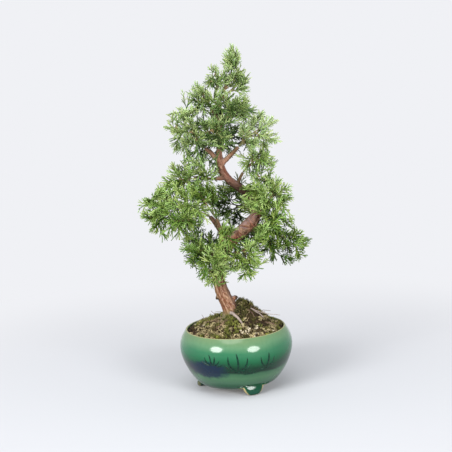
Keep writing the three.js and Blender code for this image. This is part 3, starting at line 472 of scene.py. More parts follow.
# Where a strip has just come off, the fresh layer under it is rust red for a few millimetres.
bark_rust = add_node(
    bark, "TexNoise", {"Vector": bark_grain, "Scale": 0.3, "Detail": 3.0, "Distortion": 0.6}
)
bark_rust_part = add_node(bark, "MapRange", [bark_rust.outputs[1], 0.56, 0.63, 0.0, 0.42])
# Bark that faces up is painted a cool grey, a painted highlight of the sky on its top side.
bark_facing = add_node(bark, "NewGeometry", {}).outputs["Normal"]
bark_up = add_node(bark, "SeparateXYZ", [bark_facing]).outputs[2]
bark_painted_sky_light = add_node(bark, "MapRange", [bark_up, 0.25, 0.85, 0.0, 0.65])
bark_old, bark_flaked = (
    add_node(bark, "Mix", {0: bark_strip_part, 6: tone(under), 7: tone(over)}, data_type="RGBA")
    for under, over in (("#47302a", "#946a5a"), ("#755339", "#a3836a"))
)
bark_colour = add_node(bark, "Mix", {0: bark_pale, 6: bark_old, 7: bark_flaked}, data_type="RGBA")
# Over these lie the dark fibre, the rust, the painted grey highlight on the sides that face up, the
# cracks, the skin of young wood, a film of green algae on the shaded side and the foot, painted
# shade on the climb to the fork and on the lee sides of the stem, and the cut ends.
for part, code in (
    (bark_fibre_part, "#54372c"), (bark_rust_part, "#934b34"), (bark_painted_sky_light, "#887d86"),
    (bark_cracked, "#5e2a1a"), (bark_young, "#6f5a3e"), (bark_shaded, "#6a6840"),
    (bark_painted_shade, "#37291d"), (bark_cut, "#332519"),
):
    bark_colour = add_node(bark, "Mix", {0: part, 6: bark_colour, 7: tone(code)}, data_type="RGBA")
bark_bump = add_node(bark, "Bump", {"Height": bark_fibre, "Strength": 0.5, "Distance": 0.0004})
set_finish(bark, {
    "Roughness": 0.82, "Specular IOR Level": 0.25, "Base Color": bark_colour, "Normal": bark_bump,
})

trunk = set_piece("trunk_and_roots", cad_form("trunk_and_limbs"), bark, ["trunk_and_limbs"])
swell = trunk.modifiers.new("skin of bark", "REMESH")
swell.mode = "VOXEL"
swell.voxel_size = 0.56 * MM
swell.use_smooth_shade = True
settle(trunk)
soft = bmesh.new()
soft.from_mesh(trunk.data)
for _ in range(4):
    bmesh.ops.smooth_vert(
        soft, verts=soft.verts, factor=0.5, use_axis_x=True, use_axis_y=True, use_axis_z=True
    )
soft.to_mesh(trunk.data)
soft.free()
trunk.data.shade_smooth()

# Each vertex is matched to the route that it belongs to, for the run of the grain at that place.
# The grain is drawn out along the stem, so one step along it counts as much less than one across.
GRAIN_RUN = 0.13
stem_at = vertex_places(trunk.data)
stem_x, stem_z = stem_at[:, 0], stem_at[:, 2]
best = np.full(len(stem_at), 1e9)
grain = np.zeros((len(stem_at), 3))
girth = np.zeros(len(stem_at))
run_length = 0.0
for route in STEM_ROUTES:
    for a, b in zip(route, route[1:]):
        start, end = np.array(a[:3]), np.array(b[:3])
        step = end - start
        length = np.linalg.norm(step)
        along = np.clip((stem_at - start) @ step / length ** 2, 0, 1)
        away = stem_at - (start + along[:, None] * step)
        radius = a[3] + along * (b[3] - a[3])
        gap = np.abs(np.linalg.norm(away, axis=1) - radius)
        nearer = gap < best
        best[nearer] = gap[nearer]
        travelled = (run_length + along[nearer] * length) * GRAIN_RUN
        around = away[nearer]
        grain[nearer] = np.stack(
            [around[:, 0] + 0.6 * around[:, 2], around[:, 1] - 0.5 * around[:, 2], travelled], 1
        )
        girth[nearer] = radius[nearer]
        run_length += length
    run_length += 40
strength = np.clip(girth / 5.5, 0.15, 1.15)
cracks = np.zeros(len(stem_at))
lift = np.zeros(len(stem_at))
for i, (gx, gy, gz) in enumerate(grain):
    split = abs(noise.noise((gx * 0.5, gy * 0.5, gz * 0.9)))
    fine = abs(noise.noise((gx * 1.1 + 9, gy * 1.1, gz * 1.8)))
    flake = noise.noise((gx * 0.3, gy * 0.3 + 4, gz * 1.2))
    cracks[i] = max(0.0, 1 - split * 7)
    lift[i] = -0.62 * max(0.0, 1 - split * 5) - 0.2 * max(0.0, 1 - fine * 5) + 0.5 * flake
stem_normals = read_vectors(trunk.data, "normal")
place_vertices(trunk.data, stem_at + stem_normals * (lift * strength + 0.12)[:, None])


def bell(values, middle, reach):
    """A share that is one at the middle and falls away over its reach."""
    return np.exp(-(((values - middle) / reach) ** 2))


young = np.clip((2.6 - girth) / 1.2, 0, 0.8)
shaded = np.clip((-stem_normals[:, 0] - 0.15) * 1.2, 0, 1) * np.clip((stem_z - 80) / 25, 0, 1)
shaded = np.maximum(shaded * 0.65, np.clip((76 - stem_z) / 10, 0, 0.75))
write_values(trunk.data, "grain", grain)
write_values(trunk.data, "wear", np.stack([cracks * strength * 0.85, young, shaded], 1))
# The foot of the trunk has flaked pale, the climb to the upper fork and the lee sides of the stem
# get painted shade, and the three cut stubs have dark ends.
pale = np.clip((118 - stem_z) / 25, 0, 1) * 0.9
pale = np.maximum(pale, 0.45 * bell(stem_z, 212, 14))
pale = np.maximum(pale, 0.7 * bell(stem_z, 147, 12))
# Painted shade on the right part of the climb to the upper fork.
dark = 0.88 * bell(stem_z, 184, 13) * np.clip((stem_x + 6) / 8, 0, 1)
# Painted shade on the side away from the light: the right side at the foot, the left side high up.
painted_side_shade = np.clip(stem_normals[:, 0] * 1.3 - 0.35, 0, 1) * (stem_z < 118)
painted_side_shade += np.clip(-stem_normals[:, 0] * 1.2 - 0.5, 0, 1) * (stem_z > 190)
dark = np.maximum(dark, 0.6 * np.clip(painted_side_shade, 0, 1))
cut_end = np.zeros(len(stem_at))
for end in STUB_ENDS:
    cut_end = np.maximum(cut_end, np.clip((3.6 - np.linalg.norm(stem_at - end, axis=1)) / 1.2, 0, 0.85))
write_values(trunk.data, "tint_and_shade", np.stack([pale, dark, cut_end], 1))


# The moss mat covers the soil: a springy bed of living and dried moss over grit, pressed on by
# hand in scraps. It climbs the foot of the trunk. Single leaves, curls and grains lie on it.
meadow = new_finish("moss bed on grit")
meadow_place = add_node(meadow, "TexCoord", {}).outputs["Object"]
meadow_patches = add_node(meadow, "TexNoise", {"Vector": meadow_place, "Scale": 90.0, "Detail": 3.0})
meadow_colour = add_node(meadow, "ValToRGB", [meadow_patches])
fill_ramp(meadow_colour, [(0.3, "#171008"), (0.45, "#2a1e10"), (0.56, "#332c14"), (0.7, "#4a4322")])
meadow_grain = add_node(meadow, "TexNoise", {"Vector": meadow_place, "Scale": 900.0, "Detail": 3.0})
meadow_bump = add_node(meadow, "Bump", {"Height": meadow_grain, "Strength": 1.0, "Distance": 0.0008})
set_finish(meadow, {
    "Roughness": 0.95, "Specular IOR Level": 0.2, "Base Color": meadow_colour, "Normal": meadow_bump,
})

BED_REACH = 44.4
bed = cad_form("moss_mat")
bmesh.ops.subdivide_edges(bed, edges=bed.edges, cuts=4, use_grid_fill=True)
bed.normal_update()
for vert in bed.verts:
    x, y, z = (vert.co - spot(0, 0, 0)) / MM
    if vert.normal.z > 0.2 and z > 54.5:
        edge = min(1.0, max(0.0, (44.2 - math.hypot(x, y)) / 3))
        lump = noise.noise((x * 0.16, y * 0.16, 3)) * 1.1 + noise.noise((x * 0.45, y * 0.45, 7)) * 0.8
        crumb = noise.noise((x * 1.1, y * 1.1, z * 1.1)) * 0.45
        hollow = 2.4 * math.exp(-((x + 38) / 6) ** 2 - ((y + 2) / 14) ** 2)
        vert.co.z += (lump + crumb - hollow) * edge * MM
moss = set_piece("moss_bed", bed, meadow, ["moss_mat"])

# What lies on the bed is placed by a seeded draw. Each kind is one small shape, copied about.
draw = random.Random(20)
BUNCH = 16


def sow(form, seedling, places):
    """Adds a copy of a small mesh to the form at each place, a bunch at a time, which is quicker."""
    for first in range(0, len(places), BUNCH):
        bunch = bmesh.new()
        for place in places[first:first + BUNCH]:
            known = len(bunch.verts)
            bunch.from_mesh(seedling)
            bunch.verts.ensure_lookup_table()
            bmesh.ops.transform(bunch, matrix=place, verts=bunch.verts[known:])
        parcel = bpy.data.meshes.new("parcel")
        bunch.to_mesh(parcel)
        bunch.free()
        form.from_mesh(parcel)
        bpy.data.meshes.remove(parcel)


def seedling_from(form, name):
    """Keeps a small shape as a mesh that can be sown."""
    bmesh.ops.recalc_face_normals(form, faces=form.faces)
    mesh = bpy.data.meshes.new(name)
    form.to_mesh(mesh)
    form.free()
    return mesh


def ground_at(x, y):
    """The height of the moss bed and its slope at a place, or nothing where the trunk stands."""
    hit, place, slope, _ = moss.ray_cast(spot(x, y, 130), Vector((0, 0, -1)))
    return (place, slope) if hit and slope.z > 0.25 and place.z > 54 * MM else None


# A dried moss stem curls up as it dries: a bent thread about 0.6 mm thick.
curls = []
for sweep, radius in ((140, 2.0), (200, 1.3), (85, 3.4)):
    thread = bmesh.new()
    ring = bmesh.ops.create_circle(thread, cap_ends=False, segments=3, radius=0.36 * MM)["verts"]
    bmesh.ops.translate(thread, verts=ring, vec=(radius * MM, 0, 0))
    bmesh.ops.spin(
        thread, geom=ring + thread.edges[:], cent=(0, 0, 0), axis=(0, 1, 0),
        dvec=(0, 0.2 * MM, 0), angle=math.radians(sweep), steps=4, use_merge=False, use_duplicate=False,
    )
    bmesh.ops.holes_fill(thread, edges=thread.edges, sides=3)
    bmesh.ops.translate(thread, verts=thread.verts, vec=(-radius * MM, 0, 0))
    curls.append(seedling_from(thread, "dried moss curl"))

# A living moss shoot is a spray of narrow pointed leaves on a stalk.
stars = []
for count, height, open_wide in ((4, 3.4, 14), (5, 2.8, 26)):
    shoot = bmesh.new()
    for k in range(count):
        tilt = Matrix.Rotation(math.radians(open_wide * (0.4 + k % 2)), 4, "Y")
        lean = Matrix.Rotation(math.tau * k / count, 4, "Z") @ tilt
        bmesh.ops.create_cone(
            shoot, cap_ends=True, segments=3, radius1=0.34 * MM, radius2=0.03 * MM, depth=height * MM,
            matrix=lean @ Matrix.Translation((0, 0, height / 2 * MM)),
        )
    stars.append(seedling_from(shoot, "living moss shoot"))

# A grain is a chip of pumice or baked clay, worn round.
chips = []
for seed in (1, 2):
    chip = bmesh.new()
    bmesh.ops.create_icosphere(chip, subdivisions=1, radius=1.0 * MM)
    for vert in chip.verts:
        vert.co *= 1 + 0.35 * noise.noise(vert.co / MM * 0.9 + Vector((seed * 7, 0, 0)))
    chips.append(seedling_from(chip, "grain of grit"))

# Scraps of moss differ from place to place. A patch is its middle and its reach on the pot's axes
# in millimetres, what grows there, and how strongly.
PATCHES = [
    (-28, -24, 14, 12, "straw", 2.4), (-2, -38, 22, 7, "straw", 2.4), (33, -20, 8, 10, "straw", 1.5),
    (-18, 2, 8, 9, "pink", 2.6), (-14, -14, 6, 8, "pink", 1.6), (-6, -6, 6, 10, "green", 3.4),
    (0, -24, 7, 9, "green", 2.6), (-8, -34, 7, 6, "green", 1.6), (-26, -8, 7, 6, "green", 0.8),
    (7, -3, 9, 8, "shade", 4.5), (3, -12, 5, 6, "shade", 1.5), (-39, -3, 6, 15, "soil", 5.0),
    (21, -8, 8, 9, "soil", 5.0), (16, -16, 7, 8, "soil", 3.0), (38, -6, 6, 8, "soil", 1.2),
    (18, -28, 8, 6, "grit", 2.6), (8, -26, 6, 6, "grit", 1.0), (0, 26, 26, 14, "green", 1.2),
    (26, 20, 12, 10, "soil", 1.5), (-26, 22, 12, 12, "straw", 1.4), (10, 36, 14, 8, "straw", 1.2),
]


def what_grows(x, y):
    """The kind of clump at a place, drawn by the strength of the patches there."""
    chances = {"straw": 0.5, "pink": 0.04, "green": 0.22, "shade": 0.12, "soil": 0.25, "grit": 0.05}
    for px, py, wide, deep, kind, strength in PATCHES:
        chances[kind] += strength * math.exp(-((x - px) / wide) ** 2 - ((y - py) / deep) ** 2)
    return draw.choices(list(chances), list(chances.values()))[0]


def stand_on(x, y, lift, size, face):
    """The place of a small piece on the bed, a little above it, or nothing off the bed."""
    ground = ground_at(x, y)
    if ground is None or math.hypot(x, y) > BED_REACH:
        return None
    place, slope = ground
    stand = (slope * 0.6 + Vector((0, 0, 0.6))).to_track_quat("Z", "Y").to_matrix().to_4x4()
    raised = Matrix.Translation(place) @ stand @ Matrix.Translation((0, 0, lift * MM))
    return raised @ face @ Matrix.Scale(size, 4)


# Each clump is a head of dried moss, a tuft of living moss, or a few grains, 4 to 5 mm across.
# Between the clumps the dark soil shows. Each kind has a count, a reach and a height.
CLUMPS = {
    "straw": (17, 2.4, 1.9), "pink": (13, 2.3, 1.3), "green": (13, 1.9, 0.4),
    "shade": (15, 2.1, 0.5), "soil": (9, 2.2, 0.1), "grit": (5, 2.1, 0.4),
}
CLUMPS_APART = 3.5
CLUMP_TRIES = 6000
batches = {"curl": [], "star": [], "chip": []}
clumps = []
for _ in range(CLUMP_TRIES):
    reach = 44 * math.sqrt(draw.random())
    turn = draw.uniform(0, math.tau)
    x, y = reach * math.cos(turn), reach * math.sin(turn)
    if any((x - cx) ** 2 + (y - cy) ** 2 < CLUMPS_APART ** 2 for cx, cy in clumps):
        continue
    if ground_at(x, y) is None:
        continue
    clumps.append((x, y))
    grows = what_grows(x, y)
    bright = draw.random()
    count, wide, tall = CLUMPS[grows]
    for _ in range(count):
        off = wide * math.sqrt(draw.random())
        way = draw.uniform(0, math.tau)
        # Pieces near a clump's middle stand higher and are painted lighter. Those at its rim are painted
        # darker, a painted shade between the clumps.
        dome = 1 - (off / wide) ** 2
        here = (x + off * math.cos(way), y + off * math.sin(way))
        size = draw.uniform(0.7, 1.2)
        slump = Matrix.Rotation(off / wide * 0.7 + draw.uniform(-0.2, 0.2), 4, "Y")
        spin = Matrix.Rotation(draw.uniform(0, math.tau), 4, "Z")
        if grows in ("straw", "pink"):
            turn_over = Matrix.Rotation(draw.uniform(-1.3, 0.4), 4, "X")
            form = stand_on(*here, tall * dome, size * 0.85, spin @ turn_over)
            light = 0.35 * bright + 0.5 * draw.random() + 0.4 * dome - 0.2
            kin = 0.25 * draw.random() if grows == "pink" else 0.7 + 0.3 * draw.random()
            kind, which = "curl", draw.randrange(3)
        elif grows in ("green", "shade"):
            big = 0.85 if grows == "green" else 0.9
            outward = Matrix.Rotation(way, 4, "Z") @ slump
            form = stand_on(*here, tall * dome - 0.5, size * big, outward @ spin)
            light = 0.3 * bright + 0.6 * draw.random() + 0.35 * dome - 0.2
            kin = draw.uniform(0.75, 1) if grows == "green" else draw.uniform(0, 0.3)
            kind, which = "star", draw.randrange(2)
        else:
            big = 0.55 if grows == "soil" else 1.15
            form = stand_on(*here, 0.2, size * big, spin @ Matrix.Diagonal((1, 0.8, 0.65, 1)))
            light = draw.random()
            kin = 0.12 * draw.random() if grows == "soil" else 1.0
            kind, which = "chip", draw.randrange(2)
        if form is not None:
            batches[kind].append((which, form, (min(1, max(0, light)), kin, 0.0, 1.0)))

# Longer moss stands up round the foot of the trunk, and in a band to its left and right. Each tuft
# is given by its middle, its reach and its height in millimetres.
TUFTS = [
    (-13, -4, 3.0, 3.2), (-11, -8, 3.0, 2.6), (-8, -11, 3.2, 2.4), (-4, -12, 3.0, 2.0), (-14, 1, 3.0, 3.4),
    (-13, 6, 3.0, 3.4), (-18, 4, 3.0, 2.2), (-22, 2, 3.0, 2.0), (-17, -2, 2.6, 2.0), (-9, 9, 3.0, 3.0),
    (-26, 6, 3.0, 1.6), (-31, 8, 3.0, 1.4), (6, -9, 2.6, 1.6), (9, 2, 2.8, 1.4), (15, 0, 2.6, 1.2),
    (12, -7, 2.6, 1.2), (-21, 10, 3.0, 2.0), (28, 2, 3.0, 1.4), (34, -2, 3.0, 1.2), (22, 3, 2.8, 1.4),
    (7, -4, 3.4, 1.2), (4, -8, 3.0, 1.2), (10, -3, 3.4, 1.0), (6, 2, 3.4, 0.8), (8, -10, 3.0, 0.8),
]
for x, y, wide, tall in TUFTS:
    in_shade = x > 2
    for k in range(22):
        off, way = wide * math.sqrt(draw.random()), draw.uniform(0, math.tau)
        here = (x + off * math.cos(way), y + off * math.sin(way))
        outward = Matrix.Rotation(way, 4, "Z") @ Matrix.Rotation(off / wide * 0.5, 4, "Y")
        spin = Matrix.Rotation(draw.uniform(0, math.tau), 4, "Z")
        lift = tall * (1 - (off / wide) ** 2) * draw.random()
        size = draw.uniform(0.8, 1.4)
        if k % 2:
            form = stand_on(*here, lift - 0.8, size, outward @ spin)
            kin = draw.uniform(0, 0.5) if in_shade else draw.uniform(0.3, 1)
            kind, which = "star", draw.randrange(2)
        else:
            turn_over = Matrix.Rotation(draw.uniform(-1.5, -0.6), 4, "X")
            form = stand_on(*here, lift, size, spin @ turn_over)
            kin = draw.uniform(0.3, 0.8) if in_shade else draw.uniform(0.3, 1)
            kind, which = "curl", draw.randrange(3)
        if form is not None:
            light = draw.uniform(0.0, 0.6 if in_shade else 0.8)
            batches[kind].append((which, form, (light, kin, 0.0, 1.0)))


def shade_leaf(name, usual, other, rough, patch_size):
    """A dry or living moss material: each piece has its own light and kin, along two runs of colour."""
    leaf = new_finish(name)
    drawn = add_node(leaf, "Attribute", {}, attribute_name="drawn").outputs["Color"]
    light, kin, _ = add_node(leaf, "SeparateColor", [drawn]).outputs
    place = add_node(leaf, "TexCoord", {}).outputs["Object"]
    mottle = add_node(leaf, "TexNoise", {"Vector": place, "Scale": 1 / (patch_size * MM), "Detail": 2.0})
    depth = add_node(leaf, "MapRange", [mottle, 0.35, 0.65, 0.0, 0.45])
    usual_run, other_run = (
        add_node(leaf, "Mix", {0: light, 6: tone(dark), 7: tone(bright)}, data_type="RGBA")
        for dark, bright in (usual, other)
    )
    chosen = add_node(leaf, "Mix", {0: kin, 6: other_run, 7: usual_run}, data_type="RGBA")
    mottled = add_node(
        leaf, "Mix", {0: depth, 6: chosen, 7: tone("#8d8676")}, data_type="RGBA", blend_type="MULTIPLY"
    )
    set_finish(leaf, {"Roughness": rough, "Specular IOR Level": 0.3, "Base Color": mottled})
    return leaf


# Dried sphagnum is papery and straw coloured or pinkish, living moss is yellow green in the light
# and olive brown on the mound, and the grit is pale pumice among dark baked clay.
straw_moss = shade_leaf("dried sphagnum", ("#463a1e", "#ddd09a"), ("#4c3526", "#bfa083"), 0.8, 1.6)
green_moss = shade_leaf("living moss", ("#242a0a", "#a8ae4e"), ("#171207", "#7b7240"), 0.75, 2.2)
grit_chips = shade_leaf("pumice and clay grit", ("#83765a", "#e2d7bd"), ("#120b05", "#553921"), 0.9, 1.2)
for kind, name, seedlings, finish in (
    ("curl", "dried_moss_curls", curls, straw_moss),
    ("star", "living_moss_shoots", stars, green_moss),
    ("chip", "grit_grains", chips, grit_chips),
):
    heap = bmesh.new()
    drawn = []
    for which, seedling in enumerate(seedlings):
        chosen = [entry for entry in batches[kind] if entry[0] == which]
        sow(heap, seedling, [entry[1] for entry in chosen])
        drawn += [np.repeat([entry[2]], len(seedling.vertices), 0) for entry in chosen]
    scatter = set_piece(name, heap, finish)
    write_values(scatter.data, "drawn", np.concatenate(drawn))

# Fine dead twigs and a bleached surface root lie over the moss, as they fell or grew. Each is given
# by the points that it passes, its radius in millimetres, and whether it is bleached.
LITTER = [
    ([(-3.5, -7, 71.5), (0, -12, 71), (3.5, -18, 67.4), (7.4, -24, 63)], 1.8, 1),
    ([(11, -2, 76.5), (17, -4.5, 73), (23, -6, 69), (27, -7, 65.5)], 0.9, 1),
    ([(11, -4, 76), (16, -8, 71), (19, -13, 66.5)], 0.7, 0),
    ([(15, -5, 74.5), (24, -7, 70.6), (33, -8, 68.6), (42, -8, 67.4)], 0.5, 1),
    ([(24, -7, 70.6), (28, -9, 71.5)], 0.35, 1),
    ([(-14, 0, 67), (-19, -1, 70), (-22, -1, 73)], 0.3, 0),
    ([(-24, 2, 63), (-29, 2, 66), (-31, 3, 69)], 0.28, 0),
    ([(20, 4, 68), (27, 8, 69), (34, 12, 67)], 0.35, 0),
    ([(6, 12, 71), (4, 20, 71), (2, 27, 69)], 0.35, 0),
    ([(-10, 14, 67), (-14, 22, 66), (-18, 27, 65)], 0.35, 1),
    ([(28, -16, 63.5), (34, -20, 62.5), (39, -18, 61)], 0.4, 0),
]
deadwood = shade_leaf("dead juniper twig", ("#5e3a2a", "#a89c94"), ("#4a2c1e", "#7d4a33"), 0.8, 2.5)
litter = bmesh.new()
drawn = []
for points, radius, bleached in LITTER:
    first = len(litter.verts)
    ring = bmesh.ops.create_circle(litter, cap_ends=True, segments=7, radius=radius * MM)["verts"]
    ends = [spot(*p) for p in points]
    turn = (ends[1] - ends[0]).normalized().to_track_quat("Z", "Y").to_matrix().to_4x4()
    bmesh.ops.transform(litter, matrix=Matrix.Translation(ends[0]) @ turn, verts=ring)
    face = ring[0].link_faces[0]
    shrink = 1 - 0.75 / (2 * (len(ends) - 1)) if radius > 0.5 else 0.86
    for here, there in zip(ends, ends[1:]):
        for part in (0.5, 1.0):
            face = bmesh.ops.extrude_discrete_faces(litter, faces=[face])["faces"][0]
            middle = face.calc_center_median()
            wobble = Vector([draw.uniform(-1, 1) for _ in range(3)]) * radius * 0.3 * MM
            bmesh.ops.translate(litter, verts=face.verts, vec=here.lerp(there, part) + wobble - middle)
            centre = Matrix.Translation(-face.calc_center_median())
            bmesh.ops.scale(litter, vec=(shrink,) * 3, space=centre, verts=face.verts)
    drawn.append(np.repeat([(0.9 if bleached else 0.2, 0.9, 0, 1)], len(litter.verts) - first, 0))
bmesh.ops.remove_doubles(litter, verts=litter.verts, dist=1e-6)
bmesh.ops.recalc_face_normals(litter, faces=litter.faces)
fallen = set_piece("surface_root_and_twigs", litter, deadwood)
write_values(fallen.data, "drawn", np.concatenate(drawn))


# The foliage is itoigawa scale leaf: fine round cords, about 1.1 mm thick, of tiny leaves pressed
# flat to the stem. They fork again and again into tight sprays, and new tips are yellow green.
# One small forked cord is made in six versions and grown from every leaf spike of the CAD sprays.
cord_green = new_finish("juniper scale leaf")
cord_along = add_node(cord_green, "Attribute", {}, attribute_name="along").outputs["Fac"]
cord_drawn = add_node(cord_green, "Attribute", {}, attribute_name="drawn").outputs["Color"]
cord_light, cord_kin, cord_wax = add_node(cord_green, "SeparateColor", [cord_drawn]).outputs
cord_ramp = add_node(cord_green, "ValToRGB", [cord_light])
fill_ramp(cord_ramp, [(0.0, "#1b2b05"), (0.35, "#436016"), (0.65, "#728b3c"), (1.0, "#9cb26b")])
cord_tip_part = add_node(
    cord_green, "MapRange", [cord_along, 0.5, 1.05, 0.0, 0.2],
    interpolation_type="SMOOTHSTEP",
)
cord_tip_lit = add_node(cord_green, "Math", [cord_tip_part, cord_light], operation="MULTIPLY")
cord_tipped = add_node(
    cord_green, "Mix", {0: cord_tip_lit, 6: cord_ramp, 7: tone("#aebd84")}, data_type="RGBA"
)
cord_hue = add_node(cord_green, "MapRange", [cord_kin, 0.0, 1.0, 0.482, 0.522])
# A waxy bloom greys the young cords, most of all high in the crown.
cord_bloom = add_node(cord_green, "MapRange", [cord_wax, 0.0, 1.0, 1.04, 0.9])
cord_colour = add_node(
    cord_green, "HueSaturation",
    {"Hue": cord_hue, "Saturation": cord_bloom, "Value": 1.0, "Color": cord_tipped},
)
# The overlapping scale leaves are 1 mm long. They are drawn as bands along each cord.
cord_beat = add_node(cord_green, "Math", [cord_along, 44.0], operation="MULTIPLY")
cord_bands = add_node(cord_green, "Math", [cord_beat], operation="SINE")
cord_bump = add_node(cord_green, "Bump", {"Height": cord_bands, "Strength": 0.35, "Distance": 0.00015})
set_finish(cord_green, {
    "Roughness": 0.5, "Specular IOR Level": 0.35, "Base Color": cord_colour, "Normal": cord_bump,
})

CORD_LENGTH = 10.0
CORD_RADIUS = 0.53


def grow_cord(form, length, radius, sides, cuts, place, low, high):
    """Adds one round-tipped cord to a form, and marks how far out on the shoot each part is."""
    known = set(form.verts)
    bmesh.ops.create_cone(
        form, cap_ends=True, segments=sides, radius1=radius * MM, radius2=radius * 0.62 * MM,
        depth=length * MM, matrix=Matrix.Translation((0, 0, length / 2 * MM)),
    )
    fresh = [v for v in form.verts if v not in known]
    crown = max({f for v in fresh for f in v.link_faces}, key=lambda f: f.calc_center_median().z)
    rise = length * 0.8 * MM
    tall = {e for v in fresh for e in v.link_edges if abs(e.verts[0].co.z - e.verts[1].co.z) > rise}
    bmesh.ops.poke(form, faces=[crown], offset=radius * 1.1 * MM)
    if cuts:
        bmesh.ops.subdivide_edges(form, edges=list(tall), cuts=cuts)
    made = [v for v in form.verts if v not in known]
    along = form.verts.layers.float["along"]
    for vert in made:
        vert[along] = low + (high - low) * vert.co.z / (length * MM)
    bmesh.ops.transform(form, matrix=place, verts=made)


sprigs = []
for seed in range(6):
    fork_draw = random.Random(300 + seed)
    sprig = bmesh.new()
    sprig.verts.layers.float.new("along")
    grow_cord(sprig, CORD_LENGTH, CORD_RADIUS, 4, 1, Matrix.Identity(4), 0.0, 1.0)
    side = fork_draw.uniform(0, 360)
    forks = ((0.18, 0.56), (0.4, 0.48), (0.64, 0.34)) if seed % 2 else ((0.24, 0.58), (0.5, 0.44))
    for part, share in forks:
        side += 180 + fork_draw.uniform(-30, 30)
        lean = math.radians(fork_draw.uniform(26, 40))
        long = CORD_LENGTH * share * fork_draw.uniform(0.8, 1.15)
        place = (
            Matrix.Translation((0, 0, CORD_LENGTH * part * MM)) @ Matrix.Rotation(math.radians(side), 4, "Z")
            @ Matrix.Rotation(lean, 4, "Y")
        )
        grow_cord(sprig, long, CORD_RADIUS * 0.9, 3, 0, place, part, 1.0)
    bow = fork_draw.uniform(0.5, 2.0)
    for vert in sprig.verts:
        vert.co.x += bow * (vert.co.z / (CORD_LENGTH * MM)) ** 2 * MM
    sprigs.append(seedling_from(sprig, "forked cord"))

# A bare cord joins each grown shoot to the wood that carries it.
stalk_form = bmesh.new()
stalk_form.verts.layers.float.new("along")
grow_cord(stalk_form, CORD_LENGTH, CORD_RADIUS * 0.95, 4, 0, Matrix.Identity(4), 0.0, 0.1)
sprigs.append(seedling_from(stalk_form, "bare cord"))
STALK = len(sprigs) - 1

# The crown's edge, and the openings in it, are read off the photograph in its own pixels: it is
# 452 wide. An opening is an oval. Through those of the second list the wood shows, so no shoot is
# grown before it there, but only behind.
CROWN_EDGE = [
    (233, 44), (240, 54), (239, 64), (252, 73), (249, 83), (243, 91), (250, 100), (252, 109),
    (262, 110), (270, 121), (282, 127), (280, 137), (272, 145), (276, 153), (279, 163), (271, 168),
    (283, 178), (283, 186), (289, 200), (291, 213), (303, 229), (313, 238), (309, 249), (301, 262),
    (290, 274), (277, 266), (263, 269), (256, 279), (248, 284), (241, 289), (232, 287), (225, 285),
    (206, 288), (197, 283), (195, 271), (183, 266), (181, 253), (189, 240), (173, 243), (149, 236),
    (145, 220), (137, 212), (145, 195), (157, 183), (175, 176), (178, 165), (184, 158), (177, 152),
    (173, 140), (169, 128), (163, 116), (174, 110), (179, 98), (189, 87), (201, 78), (204, 68),
    (214, 61), (227, 55),
]
OPENINGS = [
    (209, 162, 4, 3), (229, 174, 5, 5), (242, 175, 3, 7), (211, 234, 8, 9), (233, 95, 9, 5),
    (195, 242, 3, 4), (257, 152, 7, 4), (237, 204, 5, 4), (225, 207, 2.5, 3), (229, 196, 2.5, 2.5),
    (217, 198, 2.5, 3), (228, 292, 14, 6),
]
WOOD_SHOWS = [
    (228, 165, 11, 14), (232, 182, 14, 10), (208, 152, 9, 7), (244, 229, 8, 6), (254, 219, 8, 8),
    (215, 222, 8, 6), (194, 231, 5, 4), (207, 188, 8, 4), (241, 172, 4, 10),
]


# In those pixels the middle of the photograph is at 226, and the camera's lens is 1087 long.
MIDDLE_PIXEL = 226
LENS_PIXELS = 1087


def pixel_of(place):
    """Where a point shows in the photograph."""
    away = place - camera.matrix_world.translation
    scale = LENS_PIXELS / away.dot(forward)
    return MIDDLE_PIXEL + away.dot(camera_side) * scale, MIDDLE_PIXEL - away.dot(camera_up) * scale


def in_crown(place):
    """True where foliage shows at a point, seen from the front."""
    px, py = pixel_of(place)
    inside = False
    for (x1, y1), (x2, y2) in zip(CROWN_EDGE, CROWN_EDGE[1:] + CROWN_EDGE[:1]):
        if (y1 > py) != (y2 > py) and px < (x2 - x1) * (py - y1) / (y2 - y1) + x1:
            inside = not inside
    kept_open = OPENINGS + (WOOD_SHOWS if place.y < 2 * MM else [])
    ovals = (((px - x) / wide) ** 2 + ((py - y) / high) ** 2 for x, y, wide, high in kept_open)
    return inside and min(ovals) >= 1


def in_box(place):
    """True inside the box of the CAD, less one millimetre."""
    return all(cad_box[0][i] + MM < place[i] < cad_box[1][i] - MM for i in range(3))


def stand_cord(root, heading, size, turn):
    """The place of a small cord that stands on root, leans along heading and is size long."""
    face = heading.to_track_quat("Z", "Y").to_matrix() @ Matrix.Rotation(turn, 3, "Z")
    grown = size / (CORD_LENGTH * MM)
    form = face @ Matrix.Diagonal((0.5 + 0.5 * grown, 0.5 + 0.5 * grown, grown))
    return Matrix.Translation(root) @ form.to_4x4()


# Foliage is crowded where another cord is nearer than the room asked for.
crowd = {}
CROWD_CELL = 4 * MM


def crowd_cell(place):
    """The cube of the crowd that a point lies in."""
    return tuple(math.floor(c / CROWD_CELL) for c in place)


def take_room(place):
    """Marks that something grows at a point."""
    crowd.setdefault(crowd_cell(place), []).append(place)


def is_free(place, room):
    """True if nothing that grows is nearer to a place than the room asked for."""
    for cell in itertools.product(*[(c - 1, c, c + 1) for c in crowd_cell(place)]):
        if any((other - place).length_squared < room * room for other in crowd.get(cell, ())):
            return False
    return True


